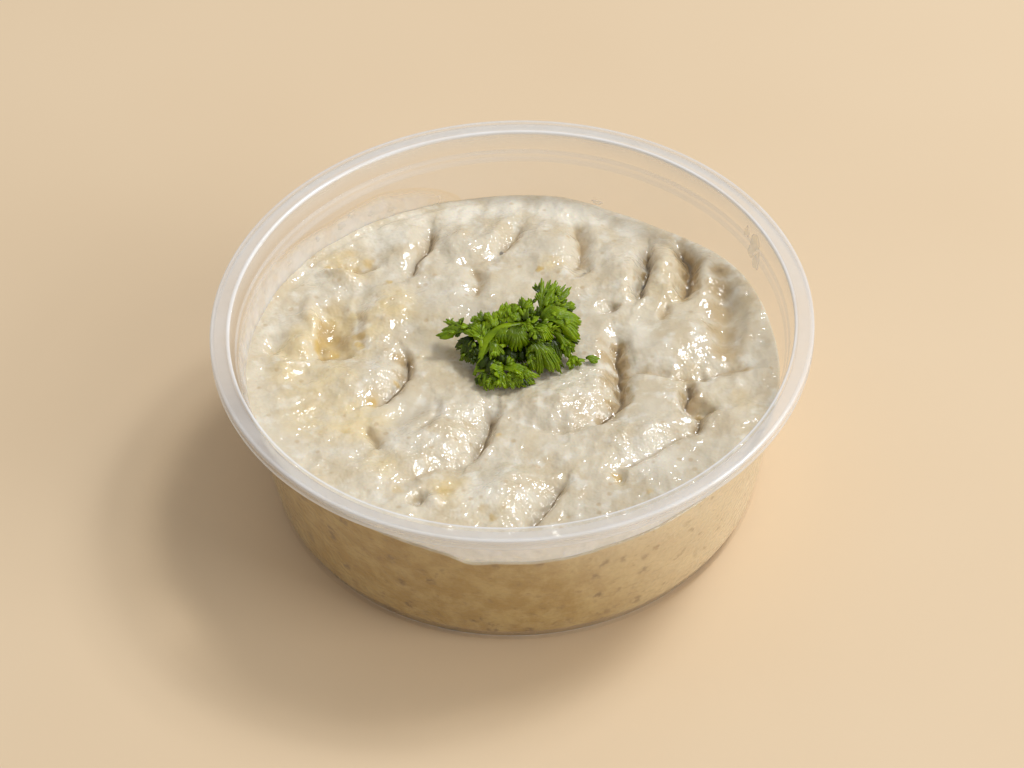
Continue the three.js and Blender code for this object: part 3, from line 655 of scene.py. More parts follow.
def dip_material():
    """Wet pale paste, tan against the wall and paler where that side is lit, stained by oil and spice,
    with painted shade in creases and hollows, painted light in pale spots, and grains that glint.
    """
    graph = Graph("aubergine paste")
    shader = graph.shader
    colour = graph.tint(PASTE, WARM_PASTE, graph.span(graph.noise(9, 4.0, 0.6), 0.42, 0.66))
    colour = graph.tint(colour, PALE_PASTE, graph.span(graph.noise(3.2, 3.0), 0.5, 0.7))
    oil = graph.marked("oil", 0.0, 0.9)
    oil = graph.times(oil, graph.span(graph.noise(4, 4.0, 0.6), 0.3, 0.62, 0.35, 1.0))
    colour = graph.tint(colour, OIL, graph.times(oil, 0.75))
    # Paler paste and painted light, from the cream spots.
    colour = graph.tint(colour, CREAM_AND_LIGHT, graph.times(graph.marked("cream", 0.0, 0.9), 0.8))
    fleck_place, fleck_colour = graph.cells(2.6)
    chosen = graph.span(fleck_colour, 0.55, 0.6)
    flecks = graph.times(graph.span(fleck_place, 0.28, 0.1), chosen)
    colour = graph.tint(colour, FLECK, graph.times(flecks, 0.45))
    spice = graph.marked("paprika", 0.0, 0.8)
    spice = graph.times(spice, graph.span(graph.noise(2.5, 3.0), 0.3, 0.6, 0.6, 1.0))
    colour = graph.tint(colour, PAPRIKA, graph.times(spice, 0.9))
    colour = graph.tint(colour, DEEP_PAPRIKA, graph.marked("paprika", 0.9, 2.0))
    # Painted shade and dark grey spots, one over another.
    for kind, begins, full, share, stain_and_shade in STAINS_AND_PAINTED_SHADE:
        colour = graph.tint(colour, stain_and_shade, graph.times(graph.marked(kind, begins, full), share))
    pressed = graph.tint(PRESSED, WARM_PRESSED, graph.span(graph.noise(5, 4.0, 0.6), 0.36, 0.66))
    # Painted light: the pressed paste turns pale where the side is lit.
    pressed = graph.tint(pressed, LIT_PRESSED, graph.mark("pale"))
    smudges = graph.times(graph.span(graph.noise(2.4, 3.0), 0.6, 0.74), 0.55)
    pressed = graph.tint(pressed, DARK_PRESSED, smudges)
    seed_place, seed_colour = graph.cells(4.0)
    seeds = graph.times(graph.span(seed_place, 0.42, 0.18), graph.span(seed_colour, 0.62, 0.68))
    seeds = graph.times(seeds, graph.span(graph.noise(1.3, 2.0), 0.36, 0.64))
    seeds = graph.times(seeds, graph.marked("pale", 0.0, 0.7, 0.85, 0.35))
    pressed = graph.tint(pressed, SEED, seeds)
    colour = graph.tint(colour, pressed, graph.mark("against_wall"))
    graph.put(shader.inputs["Base Color"], colour)
    graph.put(shader.inputs["Roughness"], 0.5)
    graph.put(shader.inputs["Specular IOR Level"], 0.3)
    graph.put(shader.inputs["Coat Weight"], 1.0)
    graph.put(shader.inputs["Coat Roughness"], 0.075)
    graph.put(shader.inputs["Coat IOR"], 1.7)
    graph.put(shader.inputs["Subsurface Weight"], 0.2)
    shader.inputs["Subsurface Radius"].default_value = (0.9, 0.6, 0.35)
    graph.put(shader.inputs["Subsurface Scale"], 1.2 * MM)
    rough = graph.marked("calm", 0.1, 0.8, 1.0, 0.25)
    ripple = graph.noise(1.2, 1.0)
    terrace = graph.span(graph.noise(1.4, 1.0), 0.38, 0.62)
    puckered = graph.marked("puckered", 0.0, 0.6, 0.4, 1.0)
    graph.put(shader.inputs["Normal"], graph.bump(ripple, 0.22, rough))
    wet_skin = graph.bump(terrace, 0.17, puckered)
    graph.put(shader.inputs["Coat Normal"], graph.bump(ripple, 0.35, puckered, wet_skin))
    return graph.material


baba_ganoush = dip_mesh()
dip_x, dip_y, dip_z = np.array([vertex.co for vertex in baba_ganoush.data.vertices]).T / MM
ragged_x = dip_x + TATTERED * field(dip_x, dip_y, TATTER_SIZE, 21.3)
ragged_y = dip_y + TATTERED * field(dip_x, dip_y, TATTER_SIZE, 27.7)
for kind, places in (
        ("oil", OIL_STAINS),
        ("paprika", PAPRIKA_STAINS),
        ("tan", SHADE_AND_JUICE_STAINS),
        ("dark_grey_spot", DARK_GREY_SPOTS),
        ("puckered", PUCKERED_SPOTS),
        ("cream", CREAM_AND_LIGHT_SPOTS)):
    mark(baba_ganoush, kind, spots(ragged_x, ragged_y, places))
# Painted light: the side is paler towards the right, which the lamps light, and paler near its top.
painted_lightness = dip_x / 40 - 0.25 + 0.5 * (dip_z / 30) ** 4
mark(baba_ganoush, "pale", np.clip(painted_lightness, 0, 0.85))
baba_ganoush.data.materials.append(dip_material())
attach(baba_ganoush, "root")
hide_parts("dip")


# ---------------------------------------------------------------------------------------------
# Film and smears. Where the spoon drags paste up the wall, a smooth half-clear film stays behind at
# the front and the left and thins out towards its ends and its top, with thicker smears at the
# right of the back and drops at the left. Each is a thin patch on the inner face of the wall.
# ---------------------------------------------------------------------------------------------
# Angle in degrees, height, half width, half height and thickness in millimetres.
SMEARS = [
    (25, 35.6, 1.5, 2.6, 0.3), (22.5, 33.4, 1.3, 1.8, 0.25), (28.5, 36.6, 0.9, 1.2, 0.2),
    (130, 29.4, 1.2, 0.8, 0.1), (127, 30.6, 0.8, 0.6, 0.08), (117, 27.8, 1.1, 0.7, 0.1),
    (122, 28.6, 1.4, 0.5, 0.08), (137, 30.2, 0.7, 0.8, 0.08), (147, 30.6, 1, 0.6, 0.08),
    (158, 31.2, 0.6, 0.8, 0.08), (69, 25.6, 1.2, 0.5, 0.1),
]
SMEAR_POINTS = 13

# How much the smears hide at the right and at the left, from 0 to 1.
SMEAR_COVER = (0.32, 0.35)

# Angle from and to in degrees, how far the film climbs above the dip's edge in millimetres, and
# how much it hides.
FILMS = [(-152, -24, 11.5, 0.95), (100, 215, 7, 0.45)]
FILM_ROWS = 13

# How far the film begins below the dip's edge and ends below the rim, its thickness at its foot and
# at its top, and how far a patch reaches into the wall, in millimetres.
BELOW_DIP = 1.6
BELOW_RIM = 2.5
FILM_FOOT = 0.12
THINNEST = 0.01
PATCH_INTO_WALL = 0.06

# Colours of the film, and of the light that it lets through. A thin film of paste is pale, and it is
# painted paler still, as painted light, since it lies in the tub's shade.
LIT_FILM = (1.0, 0.98, 0.95)
WARM_LIT_FILM = (0.98, 0.95, 0.88)
FILM_TONE = (1.0, 0.98, 0.94)


def inner_radius(z):
    """Inner radius of the tub at any height, with its ledge."""
    return np.interp(z, [FLOOR_EDGE[1], LEDGE_FOOT[1], LEDGE_TOP[1], TUB_HEIGHT],
                     [FLOOR_EDGE[0], LEDGE_FOOT[0], LEDGE_TOP[0], MOUTH_RADIUS])


def sheet_faces(rows, columns):
    """Faces of a closed thin sheet: a grid, the same grid turned over, and a border between them."""
    under = rows * columns
    faces = []
    for row in range(rows - 1):
        for column in range(columns - 1):
            a = row * columns + column
            quad = (a, a + columns, a + columns + 1, a + 1)
            faces += [quad, tuple(under + vertex for vertex in reversed(quad))]
    border = square_border(columns, rows)
    for index, start in enumerate(border):
        end = border[(index + 1) % len(border)]
        faces.append((start, end, under + end, under + start))
    return faces


def wall_patch(angle, z, thickness):
    """A closed thin patch on the wall, over a grid of angles (radians) and heights."""
    outer, inner = inner_radius(z) + PATCH_INTO_WALL, inner_radius(z) - thickness
    points = []
    for radius in (inner, outer):
        x, y = radius * np.cos(angle), radius * np.sin(angle)
        points += list(zip(x.ravel(), y.ravel(), z.ravel()))
    return points, sheet_faces(*z.shape)


def smear(angle_degrees, height, half_width, half_height, thickness):
    """A ragged drop or smear, thickest in its middle."""
    square = (SMEAR_POINTS, SMEAR_POINTS)
    across, up = (grid.reshape(square) for grid in disc_grid(SMEAR_POINTS - 1))
    turn = np.arctan2(up, across)
    ragged = 1 + 0.1 * np.sin(3 * turn + angle_degrees) + 0.07 * np.sin(5 * turn + 2 * angle_degrees)
    angle = math.radians(angle_degrees) + half_width * ragged * across / inner_radius(height)
    body = thickness * np.sqrt(np.maximum(1 - across ** 2 - up ** 2, 0)) + THINNEST
    return wall_patch(angle, height + half_height * ragged * up, body)


def film(start, end, climb, cover):
    """A thin film that climbs the wall from the dip's edge, and how much it hides at each point."""
    turns = np.radians(np.linspace(start, end, int(end - start) + 1))
    turn, row = np.meshgrid(turns, np.linspace(0, 1, FILM_ROWS))
    across = (turn - turn[0, 0]) / (turn[0, -1] - turn[0, 0])
    ends = np.clip(6 * np.minimum(across, 1 - across), 0, 1)
    uneven = 0.88 + 0.12 * np.sin(7 * turn + 1)
    rise = row * (BELOW_DIP + climb * ends ** 0.5 * uneven)
    z = np.minimum(wall_level(turn) - BELOW_DIP + rise, TUB_HEIGHT - BELOW_RIM)
    hides = cover * ends * np.clip(rise / BELOW_DIP, 0, 1) * np.clip(3 * (1 - row), 0, 1)
    return *wall_patch(turn, z, FILM_FOOT * (1 - row) + THINNEST), [*hides.ravel(), *hides.ravel()]


def joined(parts):
    """Puts the points and faces of several parts together."""
    points, faces = [], []
    for more_points, more_faces in parts:
        faces += [tuple(vertex + len(points) for vertex in face) for face in more_faces]
        points += more_points
    return points, faces


def film_material():
    """A thin, milky, patchy film of paste, painted paler as painted light."""
    graph = Graph("paste film")
    graph.put(graph.shader.inputs["Base Color"], graph.tint(LIT_FILM, WARM_LIT_FILM, graph.noise(3)))
    graph.put(graph.shader.inputs["Roughness"], 0.4)
    graph.put(graph.shader.inputs["Subsurface Weight"], 0.8)
    graph.shader.inputs["Subsurface Radius"].default_value = (1.0, 0.9, 0.75)
    graph.put(graph.shader.inputs["Subsurface Scale"], 0.5 * MM)
    patchy = graph.span(graph.noise(5, 4.0), 0.35, 0.65, 0.6, 1.0)
    graph.see_through(graph.times(patchy, graph.mark("cover")), FILM_TONE)
    return graph.material


paste_film = film_material()
films = [film(*entry) for entry in FILMS]
wall_film = mesh_piece("dip_film_on_wall", *joined([patch[:2] for patch in films]))
mark(wall_film, "cover", [hides for patch in films for hides in patch[2]])
wall_smears = mesh_piece("dip_smears_on_wall", *joined([smear(*entry) for entry in SMEARS]))
smear_points = np.array([vertex.co for vertex in wall_smears.data.vertices]) / MM
mark(wall_smears, "cover", np.where(smear_points[:, 0] > 0, *SMEAR_COVER))
for piece in (wall_film, wall_smears):
    piece.data.materials.append(paste_film)
    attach(piece, "root")


# ---------------------------------------------------------------------------------------------
# Parsley. A torn sprig of fresh curly parsley: soft stalks that fork, each swept along its course,
# and thin blades whose toothed lobes pleat and curl. A blade is a fan with two faces, and lies no
# lower than the dip. Small leaflets stand on the larger blades.
# ---------------------------------------------------------------------------------------------
# Lengths in millimetres.
BLADE_THICKNESS = 0.13
ABOVE_DIP = 0.3
CRUMPLE = 0.45

# Rows from root to edge, and columns in each lobe, of a large and of a small blade.
LARGE_BLADE = (9, 12)
SMALL_BLADE = (3, 6)

# Share of a blade's length that its foot takes, and how often a lobe is folded.
STUB = 0.12
FOLDS = 3

# Sides of a stalk's section, its height as a share of its width, and steps between two points.
STALK_SIDES = 10
STALK_FLATNESS = 0.4
STALK_STEPS = 6

# Stalks: points in millimetres, and width at the start, at the end and added in the middle.
STALKS = [
    ([(-7.8, -4.6, 29.6), (-6.6, -2.4, 31.4), (-5.8, -0.4, 32.9), (-4.4, 1.6, 34.2), (-2, 3, 35),
      (0.4, 3.8, 35), (2.6, 4.2, 34.6), (5, 4, 34.4)], 0.8, 0.6, 1.1),
    ([(-5.7, -0.2, 33.1), (-6.6, 1.8, 33.8), (-8.3, 3.2, 33.7), (-11, 5, 33)], 1.4, 0.6, 0.3),
    ([(4, 3.8, 35.2), (5, 5.2, 34.9), (6, 7, 34.9)], 0.9, 0.7, 0),
    ([(5, 3.6, 35.1), (8, 2.4, 33.6), (10, 0.6, 31.6), (11.8, -1.4, 30)], 0.8, 0.6, 0),
    ([(-7.4, -3.8, 30.2), (-5, -4.6, 30.8), (-2, -4.8, 31)], 1, 0.7, 0),
]

# Blades: root, tip, half spread in degrees, lobes, share that the lobes are cut in, bow along, cup
# across, roll in degrees, and tone, painted light and shade, from shaded (0) to lit (1).
BLADES = [
    ((-7.2, -2.8, 31), (-2.6, 4.4, 35), 17, 3, 0.1, 0.4, -0.7, 10, 1),
    ((0.6, 3.7, 35.6), (1, -1.7, 31.9), 40, 3, 0.12, 1.9, 1.6, 0, 0.48),
    ((-1.8, 3.4, 35.4), (-1.4, -0.2, 32.9), 36, 2, 0.15, 1.2, 0.8, 0, 0.7),
    ((-5.2, 0.8, 33.6), (-8.6, 4.2, 34.1), 30, 2, 0.2, 0.5, -0.4, 0, 0.9),
    ((-8.6, 3.6, 33.7), (-14.9, 6.6, 32), 30, 3, 0.5, 0.6, 0.4, 0, 0.6),
    ((-8.4, 3.8, 33.6), (-12.2, 7.2, 32.6), 24, 3, 0.5, 0.4, 0.4, 20, 0.7),
    ((-7.4, 3.4, 33.5), (-9.4, 6.2, 33.2), 32, 3, 0.5, 0.4, 0.4, -20, 0.7),
    ((-6.4, 2.8, 33.9), (-6.2, 7.2, 34.1), 30, 3, 0.5, 0.5, 0.5, 15, 0.95),
    ((-5, 2.6, 34.3), (-4.2, 6.8, 35), 34, 3, 0.45, 0.5, 0.4, -15, 0.85),
    ((-3.6, 2.8, 34.7), (-3, 7.8, 35.8), 32, 3, 0.45, 0.5, 0.5, 20, 0.95),
    ((-2, 3.2, 34.9), (-1.2, 8.3, 36.2), 28, 3, 0.5, 0.4, 0.5, -20, 0.9),
    ((-0.4, 3.4, 35), (0.4, 7.4, 36.8), 34, 3, 0.45, 0.4, 0.5, 10, 0.9),
    ((1, 3.6, 35.2), (1.6, 8.6, 36.6), 28, 3, 0.5, 0.4, 0.5, 30, 0.8),
    ((2.6, 3.8, 35.2), (3.2, 8.4, 36.8), 26, 2, 0.5, 0.4, 0.4, -10, 0.4),
    ((-4.6, 1.6, 33.8), (-3.6, 5.4, 33.6), 40, 3, 0.3, 0.3, 0.4, 0, 0.2),
    ((-1.4, 2.8, 34), (-1, 6.4, 34), 40, 3, 0.3, 0.3, 0.4, 0, 0.2),
    ((1.6, 3.4, 34.4), (2.2, 7, 34.4), 40, 3, 0.3, 0.3, 0.4, 0, 0.25),
    ((3, 3, 34), (4.8, 6.6, 34.4), 40, 3, 0.3, 0.3, 0.4, 0, 0.15),
    ((4, 4.6, 34.4), (5.4, 8.4, 35), 36, 3, 0.4, 0.3, 0.4, 0, 0.3),
    ((2, 4.2, 35), (3.6, 1.2, 35.4), 34, 3, 0.3, 0.6, 0.4, 0, 0.8),
    ((4.2, 4.4, 35), (3.4, 10, 36.6), 9, 1, 0.2, 0.3, 0.3, 0, 0.6),
    ((5.4, 5.2, 35), (7.4, 14.5, 37.7), 11, 2, 0.4, 0.6, 0.6, 20, 0.5),
    ((5.6, 6, 35), (8.4, 12.6, 38), 15, 2, 0.5, 0.5, 0.4, -40, 0.85),
    ((6, 6.4, 34.9), (10, 13.9, 37.5), 10, 2, 0.3, 0.5, 0.4, 30, 0.75),
    ((6.2, 6, 34.8), (11.7, 12.5, 36.7), 13, 2, 0.5, 0.5, 0.4, -10, 0.4),
    ((5.8, 5.8, 34.9), (10.2, 10.4, 36), 26, 3, 0.4, 0.5, 0.4, 0, 0.15),
    ((5.6, 5, 35), (12.6, 8.8, 35.2), 24, 3, 0.35, 0.8, 0.5, 0, 0.3),
    ((4.8, 4.2, 35.3), (14.2, 6.8, 33.8), 40, 6, 0.14, 2.1, 1.4, 0, 0.8),
    ((6.2, 3.4, 35), (13.4, 4, 32.8), 30, 4, 0.25, 1.3, 0.8, 20, 0.75),
    ((6.6, 3, 34.7), (12.4, 1.4, 31.4), 28, 3, 0.4, 0.9, 0.6, -10, 0.5),
    ((4.6, 3.6, 35.4), (7.6, -0.8, 33.4), 38, 4, 0.22, 1.2, 0.9, 15, 0.9),
    ((3.2, 2.4, 35.2), (5.6, 0.2, 34.2), 40, 3, 0.3, 0.7, 0.5, -20, 0.6),
    ((3.2, 1.2, 34.6), (8.8, -5.4, 29.7), 22, 4, 0.35, 1.5, 0.9, 0, 0.5),
    ((2.4, 0, 33.6), (5.4, -5.2, 30), 20, 3, 0.4, 0.9, 0.5, 10, 0.35),
    ((7.4, 1.8, 33.6), (9.6, -2, 30.2), 32, 3, 0.4, 0.7, 0.5, 0, 0.15),
    ((8.6, 2.2, 33.6), (12.6, -0.6, 30.2), 24, 3, 0.4, 0.7, 0.5, 0, 0.45),
    ((-7, 2.6, 33.6), (-10.8, 0.4, 30), 40, 3, 0.3, 0.9, 0.6, 0, 0.1),
    ((-6.6, 1.6, 33), (-8.6, -0.6, 31), 40, 3, 0.3, 0.5, 0.4, 0, 0.05),
    ((-7, 1, 32.6), (-9.8, -1.8, 29.4), 34, 3, 0.4, 0.6, 0.5, 0, 0.2),
    ((-4.6, 1.4, 34), (-2.4, -3, 31.2), 24, 3, 0.2, 0.9, 0.7, 0, 0.6),
    ((-6, -3.8, 30.9), (-1.4, -5.4, 31.2), 26, 3, 0.15, 0.9, 0.6, 20, 0.9),
    ((-3.2, -4.4, 31.2), (4.9, -5.4, 30), 20, 4, 0.25, 1, 0.7, 0, 0.85),
    ((-5.8, -4.2, 30.7), (-6.2, -7.2, 29.3), 34, 3, 0.4, 0.5, 0.4, 0, 0.4),
    ((-5.6, -4.4, 30.9), (-5.8, -8.4, 29.2), 30, 3, 0.5, 0.6, 0.4, 15, 0.6),
    ((-4, -4.8, 31), (-3.6, -8, 29.4), 32, 3, 0.4, 0.6, 0.4, -15, 0.45),
    ((-2.6, -4.8, 31.1), (-1.6, -8.8, 29.2), 28, 3, 0.45, 0.6, 0.4, 0, 0.75),
    ((-1.4, -4.8, 31.1), (1.2, -8.8, 29.2), 24, 3, 0.45, 0.6, 0.4, 20, 0.6),
    ((-0.4, -4.8, 31), (3, -7.4, 29.4), 24, 3, 0.45, 0.6, 0.4, 0, 0.4),
    ((11.2, -0.8, 30.4), (12.6, -3.2, 29.3), 46, 3, 0.3, 0.4, 0.3, 0, 0.75),
    ((11.2, -0.6, 30.3), (10.8, 1.2, 30), 36, 2, 0.3, 0.3, 0.2, 0, 0.6),
]
SCRAP = ((13.9, -0.9, 29.4), (17.2, -0.8, 29.2), 30, 3, 0.4, 0.3, 0.2, 0, 0.6)

# The first blades are smooth and carry no leaflets.
SMOOTH_BLADES = 3

# Seeds of the crumple, and of what differs between lobes and leaflets.
CRUMPLE_SEED = 7
LEAF_SEED = 3

# The inner blades fill an oval: its half length and half width in millimetres, and the cosine and
# the sine of its turn. The angle from one blade to the next is in radians.
INNER_BLADES = 34
INNER_OVAL = (9.6, 4.6)
INNER_TURN = (0.94, 0.34)
SPIRAL_STEP = 2.4


def inner_blade(index):
    """One of the small shaded blades that fill the inside of the sprig, set out in a spiral."""
    turn, reach = SPIRAL_STEP * index, math.sqrt((index + 0.5) / INNER_BLADES)
    long_way = INNER_OVAL[0] * reach * math.cos(turn)
    short_way = INNER_OVAL[1] * reach * math.sin(turn)
    cos, sin = INNER_TURN
    x, y = cos * long_way - sin * short_way, 1.6 + sin * long_way + cos * short_way
    root = (0.6 * x, 1.4 + 0.6 * y, 32.8 - reach)
    tip = (x + 1.4 * math.cos(turn), y + 1.4 * math.sin(turn), 30.4)
    # Tone 0 paints these inner blades in shade.
    return root, tip, 44, 3, 0.3, 0.8, 0.5, 40 * math.sin(5 * turn), 0


def blade_grid(blade, chance, cells):
    """The middle surface of a blade from root to toothed edge, and how much vein each point is."""
    root, tip, spread, lobes, cut, bow, cup, roll, _ = blade
    root = np.array(root, float)
    forward = np.array(tip, float) - root
    length = np.linalg.norm(forward)
    forward = forward / length
    turn = Matrix.Rotation(math.radians(roll), 3, Vector(forward))
    sideways = np.array(turn @ Vector(np.cross((0, 0, 1), forward)).normalized())
    upwards = np.cross(forward, sideways)
    columns = lobes * cells[1]
    across = np.linspace(-1, 1, columns + 1)[None, :]
    along = np.linspace(0, 1, cells[0] + 1)[:, None]
    lobe = np.minimum(np.floor(lobes * (across + 1) / 2), lobes - 1).astype(int)
    in_lobe = lobes * (across + 1) / 2 - lobe
    gap = np.abs(2 * in_lobe - 1)
    fold = np.abs(np.sin(FOLDS * math.pi * in_lobe))
    lobe_length = chance.uniform(0.8, 1.05, lobes)[lobe]
    lobe_curl = chance.uniform(-1.2, 0.8, lobes)[lobe]
    lobe_phase = chance.uniform(0, 6.3, lobes)[lobe]
    width = length * math.radians(spread) / lobes
    edge = (1 - 0.12 * across ** 2) * (1 - cut * gap ** 3) * (1 - 0.16 * (1 - fold) ** 1.5)
    reach = length * (STUB + (1 - STUB) * along * edge * (lobe_length * (1 - gap ** 3) + gap ** 3))
    pleat = width * along * (0.2 * (1 - 2 * gap) + 0.12 * along * fold) * min(1, 12 * cut ** 2)
    curl = 0.3 * length * (1 - gap ** 2) * lobe_curl * np.maximum(along - 0.4, 0) ** 1.5
    lift = 4 * bow * along * (1 - along) - cup * across ** 2 * along + pleat + curl
    angle = math.radians(spread) * (across + 0.07 * along ** 2 * np.sin(3 * along + lobe_phase))
    grid = root + (reach * np.cos(angle))[..., None] * forward
    grid = grid + (reach * np.sin(angle))[..., None] * sideways + lift[..., None] * upwards
    crumple = [noise.noise_vector(Vector(point) / 2) for point in grid.reshape(-1, 3)]
    grid = grid + CRUMPLE * np.array(crumple).reshape(grid.shape) * along[..., None]
    rest, _ = spooned_height(grid[..., 0], grid[..., 1])
    grid[..., 2] = np.maximum(grid[..., 2], rest + ABOVE_DIP)
    vein = fold ** 4 * (1 - 0.5 * along) * min(1, 3 * cut)
    return grid, vein


def leaflets(blade, chance):
    """Small toothed leaflets that stand on a blade towards its tip, turned each its own way."""
    root, tip, spread, lobes, _, bow, _, _, tone = blade
    root, tip = np.array(root, float), np.array(tip, float)
    length = np.linalg.norm(tip - root)
    forward = (tip - root) / length
    sideways = np.cross((0, 0, 1), forward)
    sideways = sideways / np.linalg.norm(sideways)
    divided = []
    for index in range(lobes + 3):
        side = (-1) ** index * chance.uniform(0.2, 1.4)
        start = chance.uniform(0.15, 0.62)
        foot = root + start * length * (forward + 0.5 * side * math.radians(spread) * sideways)
        foot[2] += 4 * bow * start * (1 - start) - 0.15
        size = chance.uniform(1.2, 2.5)
        end = foot + size * (forward + 0.9 * side * sideways) / math.hypot(1, 0.9 * side)
        end[2] += chance.uniform(-0.5, 0.9)
        shade = min(1.0, max(0.0, tone + chance.uniform(-0.6, 0.55)))
        half_spread = chance.uniform(24, 42)
        turned_by = chance.uniform(-75, 75)
        divided.append((foot, end, half_spread, 3, 0.45, 0.2, 0.2, turned_by, shade))
    return divided


def blade_surface(blade, chance, cells=LARGE_BLADE):
    """Two like faces and a border for one blade: points, faces, and its vein, margin and tone."""
    grid, vein = blade_grid(blade, chance, cells)
    rows, columns = vein.shape
    normal = np.cross(np.gradient(grid, axis=0), np.gradient(grid, axis=1))
    normal = normal / np.maximum(np.linalg.norm(normal, axis=2, keepdims=True), 1e-9)
    offset = normal * BLADE_THICKNESS / 2
    points = [*(grid + offset).reshape(-1, 3), *(grid - offset).reshape(-1, 3)]
    along = np.linspace(0, 1, rows)[:, None]
    margin = np.broadcast_to(along ** 6, vein.shape)
    # Painted shade: the tone darkens towards the root, deep inside the sprig.
    tone = np.broadcast_to(blade[-1] - 0.4 * (1 - along) ** 2, vein.shape)
    kinds = {"vein": vein, "margin": margin, "tone": tone}
    return points, sheet_faces(rows, columns), {kind: [*kinds[kind].ravel()] * 2 for kind in kinds}


def smooth_course(points, steps):
    """Points along a smooth curve through the given ones."""
    points = [np.array(point, float) for point in points]
    padded = [2 * points[0] - points[1], *points, 2 * points[-1] - points[-2]]
    course = []
    for index in range(len(points) - 1):
        a, b, c, d = padded[index:index + 4]
        for step in range(steps):
            t = step / steps
            bend = 2 * b + (c - a) * t + (2 * a - 5 * b + 4 * c - d) * t ** 2
            course.append(0.5 * (bend + (3 * b - a - 3 * c + d) * t ** 3))
    return [*course, points[-1]]


def stalk_nodes():
    """Nodes that sweep a flattened round section along courses, at the width they carry."""
    tree = bpy.data.node_groups.new("soft stalk", "GeometryNodeTree")
    for name, way, kind in (
            ("Courses", "INPUT", "Geometry"),
            ("Sides", "INPUT", "Int"),
            ("Flatness", "INPUT", "Float"),
            ("Leaf", "INPUT", "Material"),
            ("Stalks", "OUTPUT", "Geometry")):
        tree.interface.new_socket(name, in_out=way, socket_type="NodeSocket" + kind)
    given, result = tree.nodes.new("NodeGroupInput"), tree.nodes.new("NodeGroupOutput")
    course = tree.nodes.new("GeometryNodeMeshToCurve")
    upright = tree.nodes.new("GeometryNodeSetCurveNormal")
    upright.mode = "Z_UP"
    section = tree.nodes.new("GeometryNodeCurvePrimitiveCircle")
    section.inputs["Radius"].default_value = 0.5
    squeeze = tree.nodes.new("ShaderNodeCombineXYZ")
    squeeze.inputs["X"].default_value = 1
    squeeze.inputs["Z"].default_value = 1
    flat_section = tree.nodes.new("GeometryNodeTransform")
    width = tree.nodes.new("GeometryNodeInputNamedAttribute")
    width.data_type = "FLOAT"
    width.inputs["Name"].default_value = "width"
    sweep = tree.nodes.new("GeometryNodeCurveToMesh")
    sweep.inputs["Fill Caps"].default_value = True
    realize = tree.nodes.new("GeometryNodeRealizeInstances")
    finish = tree.nodes.new("GeometryNodeSetMaterial")
    for start, end in (
            (given.outputs["Courses"], course.inputs["Mesh"]),
            (course.outputs["Curve"], upright.inputs["Curve"]),
            (given.outputs["Sides"], section.inputs["Resolution"]),
            (given.outputs["Flatness"], squeeze.inputs["Y"]),
            (section.outputs["Curve"], flat_section.inputs["Geometry"]),
            (squeeze.outputs["Vector"], flat_section.inputs["Scale"]),
            (upright.outputs["Curve"], sweep.inputs["Curve"]),
            (flat_section.outputs["Geometry"], sweep.inputs["Profile Curve"]),
            (width.outputs["Attribute"], sweep.inputs["Scale"]),
            (sweep.outputs["Mesh"], realize.inputs["Geometry"]),
            (realize.outputs["Geometry"], finish.inputs["Geometry"]),
            (given.outputs["Leaf"], finish.inputs["Material"]),
            (finish.outputs["Geometry"], result.inputs["Stalks"])):
        tree.links.new(start, end)
    return tree


def swept_stalks(material):
    """All stalks as points, faces and marks. A stalk may widen in its middle, and its ends are closed."""
    points, edges, widths = [], [], []
    for corners, start_width, end_width, middle_width in STALKS:
        course = smooth_course(corners, STALK_STEPS)
        share = np.linspace(0, 1, len(course))
        edges += [(len(points) + step, len(points) + step + 1) for step in range(len(course) - 1)]
        points += [Vector(point) * MM for point in course]
        swelling = middle_width * np.sin(math.pi * share) ** 2
        widths += [*(start_width + (end_width - start_width) * share + swelling)]
    courses = bpy.data.meshes.new("stalk courses")
    courses.from_pydata(points, edges, [])
    carrier = bpy.data.objects.new("stalk_courses", courses)
    bpy.context.collection.objects.link(carrier)
    mark(carrier, "width", [width * MM for width in widths])
    tree = stalk_nodes()
    sweep = carrier.modifiers.new("soft stalk", "NODES")
    sweep.node_group = tree
    sockets = {socket.name: socket.identifier for socket in tree.interface.items_tree}
    sweep[sockets["Sides"]] = STALK_SIDES
    sweep[sockets["Flatness"]] = STALK_FLATNESS
    sweep[sockets["Leaf"]] = material
    evaluated = carrier.evaluated_get(bpy.context.evaluated_depsgraph_get())
    swept = bpy.data.meshes.new_from_object(evaluated)
    vertices = [vertex.co / MM for vertex in swept.vertices]
    faces = [tuple(face.vertices) for face in swept.polygons]
    count = len(vertices)
    bpy.data.objects.remove(carrier)
    bpy.data.meshes.remove(swept)
    return vertices, faces, {"vein": [0.6] * count, "margin": [0.0] * count, "tone": [0.9] * count}


def leaf_piece(name, parts, material):
    """Joins stalks and blades into one piece that carries their marks."""
    piece = mesh_piece(name, *joined([part[:2] for part in parts]))
    for kind in ("vein", "margin", "tone"):
        mark(piece, kind, [value for part in parts for value in part[2][kind]])
    piece.data.materials.append(material)
    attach(piece, "root")
    return piece


# Colours of the leaf: painted shade for its folds and the inside of the sprig, painted light for its
# open, lit faces, and a fresh green in patches on the shaded blades.
SHADED_LEAF = (0.004, 0.013, 0.001)
LIT_LEAF = (0.23, 0.345, 0.004)
FRESH_LEAF = (0.08, 0.15, 0.003)

# The pale lines of a leaf: the margin line is a painted highlight on its edge, the vein line its paler
# veins. Their mark, their colour, and how much they show on the lit blades.
LEAF_LINES = [("margin", (0.25, 0.36, 0.01), 0.6), ("vein", (0.26, 0.37, 0.01), 0.35)]


